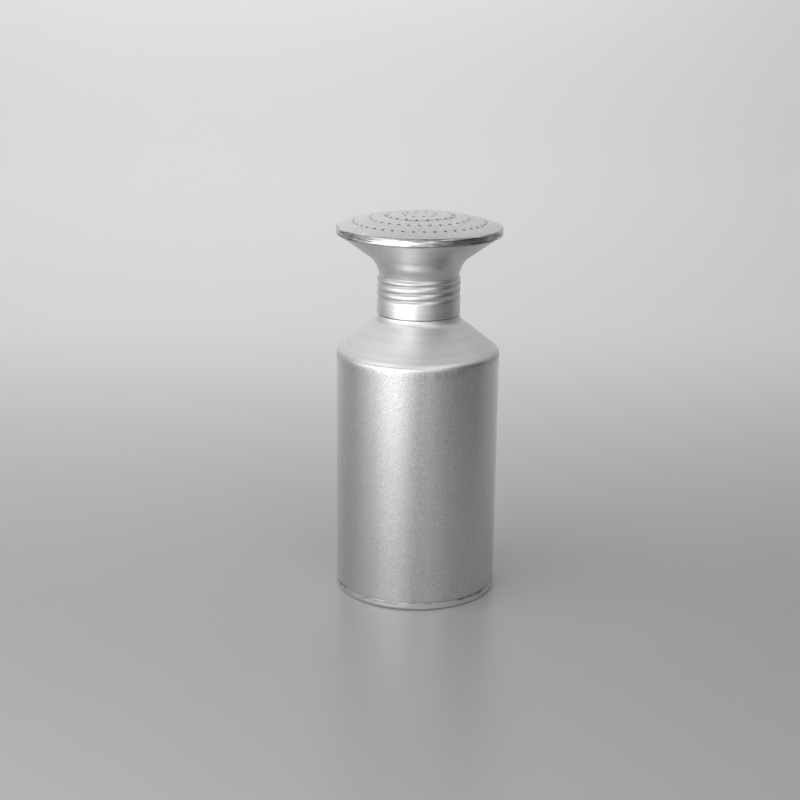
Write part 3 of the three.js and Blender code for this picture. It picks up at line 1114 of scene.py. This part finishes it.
def wall_colour(tree, height, streak, frost, marks):
    """The wall's colour: flecked and streaked, dirty near the seam, marked under the bend."""
    fleck = math_node(tree, "MULTIPLY", frost.outputs["Fleck"], FLECK_TONE)
    grain = math_node(tree, "MULTIPLY_ADD", streak, STREAK_TONE, fleck)
    colour = mix_colours(tree, grain, WALL_DARK, WALL_LIGHT)
    dirt = map_range(tree, height, *DIRT_HEIGHTS, 1, 0, smooth=True)
    cloudy = map_range(tree, marks.outputs["Smudge"], *DIRT_SMUDGES, 0, DIRT_STRENGTH)
    colour = mix_colours(tree, math_node(tree, "MULTIPLY", dirt, cloudy), colour, DIRT_COLOUR)
    return mix_colours(tree, drag_marks(tree, height, streak, marks), colour, DRAG_COLOUR)


def can_wall_material():
    base = (WALL_COLOUR,) * 3
    material, tree, shader = new_material("frosted_can_wall", base, metallic=1.0, roughness=0.36)
    place, height, _ = object_place(tree)
    frost = place_group(tree, frosting, Place=place, Grain_scale=2400.0, Peel_scale=1400.0)
    marks = place_group(tree, handling, Place=place, Smudge_scale=35.0, Scratch_scale=SCRATCH_SCALE)
    drawn_place = stretched(tree, place, 1, 1, STREAK_DRAW)
    streak = noise(tree, drawn_place, STREAK_SCALE, detail=2, rough=0.5)
    tree.links.new(rough_wall(tree, height, frost, marks), shader.inputs["Roughness"])
    colour = wall_colour(tree, height, streak, frost, marks)
    tree.links.new(colour, shader.inputs["Base Color"])
    add_relief(
        tree,
        shader,
        (streak, STREAK_RELIEF),
        (frost.outputs["Height"], WALL_GRAIN_RELIEF),
        (marks.outputs["Scratch"], SCRATCH_RELIEF),
    )
    return material


can_wall = can_wall_material()
print("material:", can_wall.name)

# %% [markdown]
# ## Spun metal
# The shoulder, the neck and the lid's collar were burnished by the spinning tool, which left fine
# rings. They are low relief and lighter and darker lines in the colour, because relief alone is hard
# to see where the light is soft. A little of the shader's anisotropy, with its direction running round
# the axis, spreads each reflection across the rings. One function makes all the spun finishes, which
# differ in tone, roughness and the width of the rings.

# %% Spun metal material
RING_DEPTH = 0.00006
RING_DARK_SHARE = 0.85
RING_LIGHT_SHARE = 1.11
BAND_TONE = 0.3
BAND_ROUGHNESS = 0.05
CLEAN_IS_SMOOTHER = 0.03
SMUDGED_IS_ROUGHER = 0.06


def spun_material(name, colour, roughness, anisotropic, lines_per_metre, height_share, line_strength):
    """The rings lie along the distance from the axis plus height_share times the height."""
    base = (colour,) * 3
    material, tree, shader = new_material(name, base, 1.0, roughness, anisotropic)
    place, height, out = object_place(tree)
    along = math_node(tree, "MULTIPLY_ADD", height, height_share, out)
    rings = place_group(tree, turning, Place=place, Along=along, Lines_per_metre=lines_per_metre)
    marks = place_group(tree, handling, Place=place, Smudge_scale=60.0, Scratch_scale=SCRATCH_SCALE)
    smooth_metal = roughness - CLEAN_IS_SMOOTHER
    rough_metal = roughness + SMUDGED_IS_ROUGHER
    rough = map_range(tree, marks.outputs["Smudge"], 0, 1, smooth_metal, rough_metal)
    rough = math_node(tree, "MULTIPLY_ADD", rings.outputs["Band"], BAND_ROUGHNESS, rough)
    tree.links.new(rough, shader.inputs["Roughness"])
    lines = math_node(tree, "MULTIPLY_ADD", rings.outputs["Band"], BAND_TONE, rings.outputs["Line"])
    dark = grey(colour * RING_DARK_SHARE)
    tone = mix_colours(tree, lines, dark, grey(colour * RING_LIGHT_SHARE))
    tree.links.new(tone, shader.inputs["Base Color"])
    ring_relief = (line_strength, RING_DEPTH)
    ring_layer = (rings.outputs["Height"], ring_relief)
    add_relief(tree, shader, ring_layer, (marks.outputs["Scratch"], SCRATCH_RELIEF))
    turned_tangent(tree, shader)
    return material


shoulder_metal = spun_material(
    "turned_shoulder",
    colour=0.78, roughness=0.42, anisotropic=0.1,
    lines_per_metre=1250.0, height_share=-0.4, line_strength=0.7,
)
neck_metal = spun_material(
    "turned_neck",
    colour=0.74, roughness=0.3, anisotropic=0.3,
    lines_per_metre=3000.0, height_share=1.0, line_strength=0.4,
)
collar_metal = spun_material(
    "turned_collar",
    colour=0.71, roughness=0.33, anisotropic=0.1,
    lines_per_metre=1500.0, height_share=1.0, line_strength=0.5,
)
inside_metal = spun_material(
    "dull_inside",
    colour=0.56, roughness=0.42, anisotropic=0.3,
    lines_per_metre=900.0, height_share=1.0, line_strength=0.3,
)
for metal in (shoulder_metal, neck_metal, collar_metal, inside_metal):
    print("material:", metal.name)

# %% [markdown]
# ## The pan
# The insides of the can and the lid were never finished, so they have the dull spun metal made above.
# The pan's band outside is smoother and brighter than the wall over it, and its upper edge is scuffed
# along the seam. The scuffs are a noise squeezed in height, so that each lies along the seam.

# %% Pan material
PAN_COLOUR = grey(0.8)
SCUFF_COLOUR = grey(0.25, 0.03)
SCUFF_SCALE = 110.0
SCUFF_SQUEEZE = 7
SCUFF_PATCHES = (0.5, 0.62)
SCUFF_BOTTOM = seam_height * 0.55
PAN_SMOOTHEST = 0.2
PAN_SMUDGE_ROUGHNESS = 0.12
PAN_GRAIN_RELIEF = (0.3, 0.00015)
PAN_RING_RELIEF = (0.25, 0.00005)
SCUFF_RELIEF = (0.3, 0.00004)


def pan_material():
    material, tree, shader = new_material("satin_pan", (0.7,) * 3, metallic=1.0, roughness=0.3)
    place, height, out = object_place(tree)
    frost = place_group(tree, frosting, Place=place, Grain_scale=1500.0, Peel_scale=500.0)
    marks = place_group(tree, handling, Place=place, Smudge_scale=50.0, Scratch_scale=SCRATCH_SCALE)
    rings = place_group(tree, turning, Place=place, Along=out, Lines_per_metre=2200.0)
    squeezed_place = stretched(tree, place, 1, 1, SCUFF_SQUEEZE)
    patchy = noise(tree, squeezed_place, SCUFF_SCALE, detail=4, rough=0.6)
    upper = map_range(tree, height, SCUFF_BOTTOM, seam_height, 0, 1, smooth=True)
    scuffs = math_node(tree, "MULTIPLY", map_range(tree, patchy, *SCUFF_PATCHES, 0, 1), upper)
    tree.links.new(mix_colours(tree, scuffs, PAN_COLOUR, SCUFF_COLOUR), shader.inputs["Base Color"])
    smudge = marks.outputs["Smudge"]
    rough = math_node(tree, "MULTIPLY_ADD", smudge, PAN_SMUDGE_ROUGHNESS, PAN_SMOOTHEST)
    tree.links.new(rough, shader.inputs["Roughness"])
    add_relief(
        tree,
        shader,
        (frost.outputs["Height"], PAN_GRAIN_RELIEF),
        (rings.outputs["Height"], PAN_RING_RELIEF),
        (scuffs, SCUFF_RELIEF),
    )
    return material


pan_metal = pan_material()
print("material:", pan_metal.name)

# %% [markdown]
# ## Sprinkler plate
# The plate's face is matt, blasted after pressing, with light and dark flecks, and with painted shade
# in the crease round the raised disc. Its rolled rim is polished, because the rolling tool burnished
# it, and the tool left light and dark streaks along it; along its lower edge, where it turns under, the
# rim has painted shade. One material does both: a mask by the distance from the axis changes the
# colour, the roughness and the relief where the roll begins.

# %% Plate finish values
FACE_DARK = grey(0.63)
FACE_LIGHT = grey(0.95)
FACE_SMUDGED = grey(0.66, 0.01)
FACE_SMUDGE_STRENGTH = 0.25
FACE_SMOOTHEST = 0.44
FACE_SMUDGE_ROUGHNESS = 0.08
CREASE_RADIUS = DISC_RADIUS + DISC_STEP * 0.75
CREASE_HALF_WIDTH = 0.0007
# Painted shade: a broken dark ring in the crease round the raised disc, standing in for the step's
# shadow.
CREASE_SHADE_COLOUR = grey(0.22, 0.02)
CREASE_SHADE_STRENGTH = 0.7
CREASE_SHADE_SCALE = 90.0
CREASE_SHADE_PATCHES = (0.4, 0.6)
CREASE_SHADE_LEAST_SHARE = 0.15
RIM_MASK = (roll_end_radius - 0.0004, roll_end_radius + 0.0003)
RIM_DARK = grey(0.16, 0.02)
RIM_LIGHT = grey(0.78)
RIM_STREAKS = (0.36, 0.62)
RIM_SMOOTHEST = 0.06
RIM_STREAK_ROUGHNESS = 0.2
STREAKS_ROUND = 110
STREAKS_UP = 1200
# Painted shade: the rim's colour darkens along its lower edge, where it turns under.
UNDER_RIM_SHADE_HEIGHTS = (rim_bottom + 0.0001, rim_bottom + 0.0006)
UNDER_RIM_SHADE_COLOUR = grey(0.14, 0.03)
UNDER_RIM_SHADE_STRENGTH = 0.85
FACE_GRAIN_RELIEF = (0.7, 0.0004)
FACE_RING_RELIEF = (0.2, 0.00004)
RIM_STREAK_RELIEF = (0.5, 0.0001)
print("the polish begins", round(RIM_MASK[0], 5), "from the axis")

# %% Plate material


def plate_face_colour(tree, place, out, frost, marks):
    """The matt face: flecked, a little duller where smudged, with painted shade in the disc's crease.
    """
    face = mix_colours(tree, frost.outputs["Fleck"], FACE_DARK, FACE_LIGHT)
    smudged = math_node(tree, "MULTIPLY", marks.outputs["Smudge"], FACE_SMUDGE_STRENGTH)
    face = mix_colours(tree, smudged, face, FACE_SMUDGED)
    # Painted shade: the colour darkens in patches along the crease round the raised disc.
    off_crease = math_node(tree, "ABSOLUTE", math_node(tree, "SUBTRACT", out, CREASE_RADIUS))
    crease = map_range(tree, off_crease, 0.0, CREASE_HALF_WIDTH, CREASE_SHADE_STRENGTH, 0, smooth=True)
    patchy = noise(tree, place, CREASE_SHADE_SCALE, detail=3, rough=0.6)
    crease_shade_patches = map_range(tree, patchy, *CREASE_SHADE_PATCHES, CREASE_SHADE_LEAST_SHARE, 1)
    return mix_colours(tree, math_node(tree, "MULTIPLY", crease, crease_shade_patches), face, CREASE_SHADE_COLOUR)


def rim_colour(tree, height, streaks):
    """The rolled rim: streaked, with painted shade where it turns under."""
    edge = mix_colours(tree, map_range(tree, streaks, *RIM_STREAKS, 0, 1), RIM_DARK, RIM_LIGHT)
    # Painted shade along the rim's lower edge, where it turns under.
    under = map_range(tree, height, *UNDER_RIM_SHADE_HEIGHTS, UNDER_RIM_SHADE_STRENGTH, 0, smooth=True)
    return mix_colours(tree, under, edge, UNDER_RIM_SHADE_COLOUR)


def plate_material():
    name = "matt_plate_polished_rim"
    material, tree, shader = new_material(name, (0.8,) * 3, metallic=1.0, roughness=0.5)
    place, height, out = object_place(tree)
    frost = place_group(tree, frosting, Place=place, Grain_scale=2400.0, Peel_scale=900.0)
    marks = place_group(tree, handling, Place=place, Smudge_scale=70.0, Scratch_scale=SCRATCH_SCALE)
    rings = place_group(tree, turning, Place=place, Along=height, Lines_per_metre=2500.0)
    rim = map_range(tree, out, *RIM_MASK, 0, 1, smooth=True)
    drawn_place = stretched(tree, place, STREAKS_ROUND, STREAKS_ROUND, STREAKS_UP)
    streaks = noise(tree, drawn_place, 1.0, detail=4, rough=0.7)
    smudge = marks.outputs["Smudge"]
    matt = math_node(tree, "MULTIPLY_ADD", smudge, FACE_SMUDGE_ROUGHNESS, FACE_SMOOTHEST)
    polished = math_node(tree, "MULTIPLY_ADD", streaks, RIM_STREAK_ROUGHNESS, RIM_SMOOTHEST)
    tree.links.new(mix_values(tree, rim, matt, polished), shader.inputs["Roughness"])
    face = plate_face_colour(tree, place, out, frost, marks)
    edge = rim_colour(tree, height, streaks)
    tree.links.new(mix_colours(tree, rim, face, edge), shader.inputs["Base Color"])
    off_rim = math_node(tree, "SUBTRACT", 1, rim)
    add_relief(
        tree,
        shader,
        (math_node(tree, "MULTIPLY", frost.outputs["Height"], off_rim), FACE_GRAIN_RELIEF),
        (rings.outputs["Height"], FACE_RING_RELIEF),
        (math_node(tree, "MULTIPLY", streaks, rim), RIM_STREAK_RELIEF),
        (marks.outputs["Scratch"], SCRATCH_RELIEF),
    )
    return material


plate_metal = plate_material()
print("material:", plate_metal.name)

# %% [markdown]
# ## Hole walls
# The wall of a punched hole is raw metal, dull and a little dusty. It is a separate material, because
# its faces are few and easy to pick: they lie in the plate and look sideways.

# %% Hole wall material
HOLE_DARK = grey(0.38, 0.02)
HOLE_LIGHT = grey(0.52)
HOLE_RELIEF = (0.5, 0.0001)


def hole_material():
    base = (0.45,) * 3
    material, tree, shader = new_material("punched_hole_wall", base, metallic=1.0, roughness=0.4)
    place = tree.nodes.new("ShaderNodeTexCoord").outputs["Object"]
    frost = place_group(tree, frosting, Place=place, Grain_scale=4000.0, Peel_scale=2500.0)
    colour = mix_colours(tree, frost.outputs["Fleck"], HOLE_DARK, HOLE_LIGHT)
    tree.links.new(colour, shader.inputs["Base Color"])
    add_relief(tree, shader, (frost.outputs["Height"], HOLE_RELIEF))
    return material


hole_metal = hole_material()
print("material:", hole_metal.name)

# %% [markdown]
# ## Washer
# Soft grey rubber with a faint bloom, matt all over. It hides in the closed shaker, so the frosting
# group over a mix of two greys is enough.

# %% Washer material
RUBBER_DARK = grey(0.28, 0.01)
RUBBER_LIGHT = grey(0.37, 0.01)
RUBBER_RELIEF = (0.3, 0.0001)


def rubber_material():
    base = (0.32, 0.32, 0.31)
    material, tree, shader = new_material("grey_rubber", base, metallic=0.0, roughness=0.75)
    place = tree.nodes.new("ShaderNodeTexCoord").outputs["Object"]
    frost = place_group(tree, frosting, Place=place, Grain_scale=1200.0, Peel_scale=300.0)
    colour = mix_colours(tree, frost.outputs["Height"], RUBBER_DARK, RUBBER_LIGHT)
    tree.links.new(colour, shader.inputs["Base Color"])
    add_relief(tree, shader, (frost.outputs["Height"], RUBBER_RELIEF))
    return material


rubber = rubber_material()
print("material:", rubber.name)

# %% [markdown]
# ## Dressing the parts
# Each finish goes on the faces it belongs to. A face is picked by where its centre lies and which way
# it looks: the can changes finish at the shoulder's edge, at the foot and inside. Every new piece
# rides on the body whose part it stands for.

# %% Give each piece its finishes


def face_vectors(piece, kind):
    """The centre or the normal of each face, as one row of numbers for each face."""
    flat = np.zeros(len(piece.data.polygons) * 3)
    piece.data.polygons.foreach_get(kind, flat)
    return flat.reshape(-1, 3)


def face_places(piece):
    """The distance from the axis and the height of each face's centre."""
    centres = face_vectors(piece, "center")
    return np.hypot(centres[:, 0], centres[:, 1]), centres[:, 2]


def finish_piece(piece, materials, chosen):
    """Gives a piece its materials. chosen holds the number of one of them for each face."""
    for material in materials:
        piece.data.materials.append(material)
    piece.data.polygons.foreach_set("material_index", chosen.astype(np.int32))


def face_in(piece):
    """Which faces look towards the axis."""
    return (face_vectors(piece, "normal")[:, :2] * face_vectors(piece, "center")[:, :2]).sum(axis=1) < 0


SHOULDER_START_SHARE = 0.45
HOLE_WALL_UPWARD = 0.5
can_out, can_height = face_places(can)
in_neck_or_can = (can_out < NECK_ROOT - LIP_ROUND) | (can_height < foot_top - FOOT_HEIGHT)
inside_can = face_in(can) & (can_out < body_radius - BODY_WALL / 2) & in_neck_or_can
on_shoulder = (can_height > bend_height + SHOULDER_BEND * SHOULDER_START_SHARE) & ~inside_can
above_foot = (can_height > foot_top - FOOT_EDGE / 2) & (can_out < FOOT_RADIUS - FOOT_EDGE / 2)
on_neck = above_foot & ~inside_can
can_choice = np.where(inside_can, 3, np.where(on_neck, 2, np.where(on_shoulder, 1, 0)))
finish_piece(can, [can_wall, shoulder_metal, neck_metal, inside_metal], can_choice)
finish_piece(pan, [pan_metal], np.zeros(len(pan.data.polygons)))
finish_piece(seal, [rubber], np.zeros(len(seal.data.polygons)))
collar_out, _ = face_places(collar)
finish_piece(collar, [collar_metal, inside_metal], face_in(collar) & (collar_out < hook_radius))
plate_out, _ = face_places(plate)
looks_sideways = np.abs(face_vectors(plate, "normal")[:, 2]) < HOLE_WALL_UPWARD
hole_walls = looks_sideways & (plate_out < roll_end_radius - CELL_HALF)
finish_piece(plate, [plate_metal, hole_metal], hole_walls)
print("can faces by finish:", np.bincount(can_choice))

# %% Ride on the bodies and stand for the parts
for piece, body, node, slot in (
    (can, "can", "body_shell", "can"),
    (pan, "can", "base_pan", "pan"),
    (seal, "seal", "sealing_ring", "seal"),
    (collar, "lid", "lid_collar", "lid"),
    (plate, "lid", "sprinkler_plate", "sprinkler"),
):
    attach(piece, body)
    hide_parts(node)
print("pieces:", [piece.name for piece in (can, pan, seal, collar, plate)])

# %% [markdown]
# ## The studio
# Metal shows what stands round it. A tall soft window stands close by in front on the left, soft
# boxes hang overhead, the air behind is pale and the room on the right is dim. That gives the can
# its soft band of light and its dark side. The floor is a plain pale sheet with a satin face that
# curves up into the backdrop. It gets paler towards the back, because the can mirrors the floor near
# it, and a floor as pale as the backdrop would light up the can's dark side from below.

# %% Floor and backdrop
NEAR_SHEET = (0.42, 0.42, 0.425, 1)
FAR_SHEET = (0.84, 0.84, 0.845, 1)
SHEET_ROUGHNESS = 0.32
PALER_FROM = -0.1
PALER_TO = 0.7
FLOOR_FRONT = -2.2
FLOOR_HALF_WIDTH = 2.6
SWEEP_START = 0.7
SWEEP_RADIUS = 0.6
SWEEP_TOP = 1.6
SWEEP_STEPS = 24
FLOOR_DROP = 0.00005


def make_sweep():
    """The floor and backdrop in one sheet, with a round bend between them."""
    profile = [(FLOOR_FRONT, 0.0), (0.0, 0.0)]
    profile += arc((SWEEP_START, SWEEP_RADIUS), SWEEP_RADIUS, -90, 0, SWEEP_STEPS)
    profile.append((SWEEP_START + SWEEP_RADIUS, SWEEP_TOP))
    points = [(x, y, z - FLOOR_DROP) for y, z in profile for x in (-FLOOR_HALF_WIDTH, FLOOR_HALF_WIDTH)]
    faces = [(2 * i, 2 * i + 1, 2 * i + 3, 2 * i + 2) for i in range(len(profile) - 1)]
    mesh = bpy.data.meshes.new("floor")
    mesh.from_pydata(points, [], faces)
    for polygon in mesh.polygons:
        polygon.use_smooth = True
    floor = bpy.data.objects.new("floor", mesh)
    bpy.context.scene.collection.objects.link(floor)
    material, tree, shader = new_material("pale_satin_sheet", NEAR_SHEET[:3], 0.0, SHEET_ROUGHNESS)
    parts = tree.nodes.new("ShaderNodeSeparateXYZ")
    tree.links.new(tree.nodes.new("ShaderNodeTexCoord").outputs["Object"], parts.inputs[0])
    back = map_range(tree, parts.outputs[1], PALER_FROM, PALER_TO, 0, 1, smooth=True)
    tree.links.new(mix_colours(tree, back, NEAR_SHEET, FAR_SHEET), shader.inputs["Base Color"])
    mesh.materials.append(material)
    return floor


floor = make_sweep()
print("floor reaches from", FLOOR_FRONT, "to", SWEEP_START + SWEEP_RADIUS)

# %% [markdown]
# The air round this small studio is one smooth function of direction, the sum of five soft patches:
# pale behind, about two thirds as bright low on the left, and faint in front and high on both sides.
# It is plain shading in the world, with no picture.

# %% World
AIR_TINT = (1.0, 0.987, 0.968)
# Each patch of air has a glow and, for parts of its direction, where it is off and where it is full.
AIR_PATCHES = {
    "back": (0.85, {"Y": (0.1, 0.7), "Z": (0.95, 0.7)}),
    "front": (0.26, {"Y": (-0.4, -0.8), "Z": (0.8, 0.5)}),
    "low left": (0.55, {"X": (0.0, -0.6), "Y": (0.6, 0.2), "Z": (0.35, 0.15)}),
    "high left": (0.25, {"X": (0.0, -0.5), "Y": (0.6, 0.2), "Z": (0.3, 0.55)}),
    "high right": (0.18, {"X": (0.0, 0.5), "Y": (0.6, 0.2), "Z": (0.05, 0.4)}),
}


def air_patch(tree, parts, glow, fades):
    """Air that glows in one direction. parts are the node's X, Y and Z of the direction."""
    light = None
    for part, (off, full) in fades.items():
        step = map_range(tree, parts.outputs[part], off, full, 0, 1, smooth=True)
        light = step if light is None else math_node(tree, "MULTIPLY", light, step)
    return math_node(tree, "MULTIPLY", light, glow)


def make_world():
    world = bpy.data.worlds.new("studio")
    world.use_nodes = True
    bpy.context.scene.world = world
    tree = world.node_tree
    direction = tree.nodes.new("ShaderNodeTexCoord").outputs["Generated"]
    parts = tree.nodes.new("ShaderNodeSeparateXYZ")
    tree.links.new(direction, parts.inputs[0])
    light = None
    for glow, fades in AIR_PATCHES.values():
        patch = air_patch(tree, parts, glow, fades)
        light = patch if light is None else math_node(tree, "ADD", light, patch)
    background = tree.nodes["Background"]
    background.inputs["Strength"].default_value = 1.0
    shade = mix_colours(tree, light, (0, 0, 0, 1), (*AIR_TINT, 1))
    shade.node.clamp_factor = False
    tree.links.new(shade, background.inputs["Color"])
    return world


world = make_world()
print("world:", world.name)

# %% [markdown]
# The window is a bow of upright panels in two rows. The low row stands nearly on the floor, so it is
# mirrored all the way down the can. It glows most at the front left and fades to both sides, as
# daylight does through a thin curtain. The high row is fainter and glows most at its two ends. The
# shoulder faces upwards, so it mirrors the high row and the soft boxes that hang overhead. The last
# light faces away from the shaker and washes the backdrop, which the domed plate mirrors.

# %% Lights


def area_light(name, place, target, size, radiance, colour=(1, 1, 1)):
    """A rectangular light that faces a target. radiance is how bright its own surface looks."""
    data = bpy.data.lights.new(name, "AREA")
    data.shape = "RECTANGLE"
    data.size, data.size_y = size
    data.energy = radiance * size[0] * size[1] * math.pi
    data.color = colour
    light = bpy.data.objects.new(name, data)
    light.location = place
    light.rotation_euler = (Vector(target) - Vector(place)).to_track_quat("-Z", "Y").to_euler()
    light.visible_camera = False
    bpy.context.scene.collection.objects.link(light)
    return light


DAYLIGHT = (0.97, 0.983, 1.0)
WINDOW_DISTANCE = 0.65
PANEL_WIDTH = 0.086
PANEL_STEP_DEG = 7.5
GLOW_ANGLES_DEG = (-105, -90, -75, -60, -45, -30, -15, 0, 15, 30, 45)
LOW_GLOW = (0.0, 0.5, 1.2, 1.95, 3.3, 3.7, 2.4, 0.8, 0.8, 0.2, 0.0)
HIGH_GLOW = (0.0, 0.75, 0.51, 0.17, 0.0, 0.0, 0.23, 0.6, 0.88, 1.16, 0.0)
LOW_ROW_BOTTOM = 0.01
HIGH_ROW_BOTTOM = 0.29
HIGH_ROW_TOP = 0.87
WINDOW_ROWS = (
    (LOW_ROW_BOTTOM, HIGH_ROW_BOTTOM, LOW_GLOW),
    (HIGH_ROW_BOTTOM, HIGH_ROW_TOP, HIGH_GLOW),
)
OVERHEAD_HEIGHT = 0.9
OVERHEAD_SIZE = (0.55, 0.7)
OVERHEAD_BOXES = (
    ((-0.55, -0.3), 1.45),
    ((-0.55, 0.4), 0.33),
    ((0.0, -0.3), 0.54),
    ((0.55, -0.3), 0.88),
    ((0.55, 0.4), 0.17),
)
WASH_PLACE = (-0.3, 0.35, 1.2)
WASH_TARGET = (-0.3, 1.3, 0.9)
WASH_SIZE = (1.8, 0.5)
WASH_GLOW = 3.8


def hang_lights():
    lights = []
    panel_angles = np.arange(GLOW_ANGLES_DEG[0] + PANEL_STEP_DEG, GLOW_ANGLES_DEG[-1], PANEL_STEP_DEG)
    for low, high, glows in WINDOW_ROWS:
        middle = (low + high) / 2
        for degrees in panel_angles:
            azimuth = math.radians(degrees)
            side = WINDOW_DISTANCE * math.sin(azimuth)
            front = -WINDOW_DISTANCE * math.cos(azimuth)
            place = (side, front, middle)
            glow = float(np.interp(degrees, GLOW_ANGLES_DEG, glows))
            size = (PANEL_WIDTH, high - low)
            lights.append(area_light("window", place, (0, 0, middle), size, glow, DAYLIGHT))
    for (x, y), glow in OVERHEAD_BOXES:
        lights.append(area_light("overhead", (x, y, OVERHEAD_HEIGHT), (x, y, 0), OVERHEAD_SIZE, glow))
    lights.append(area_light("backdrop_wash", WASH_PLACE, WASH_TARGET, WASH_SIZE, WASH_GLOW))
    return lights


lights = hang_lights()
print("lights:", len(lights), "with", round(sum(light.data.energy for light in lights), 1), "W in all")
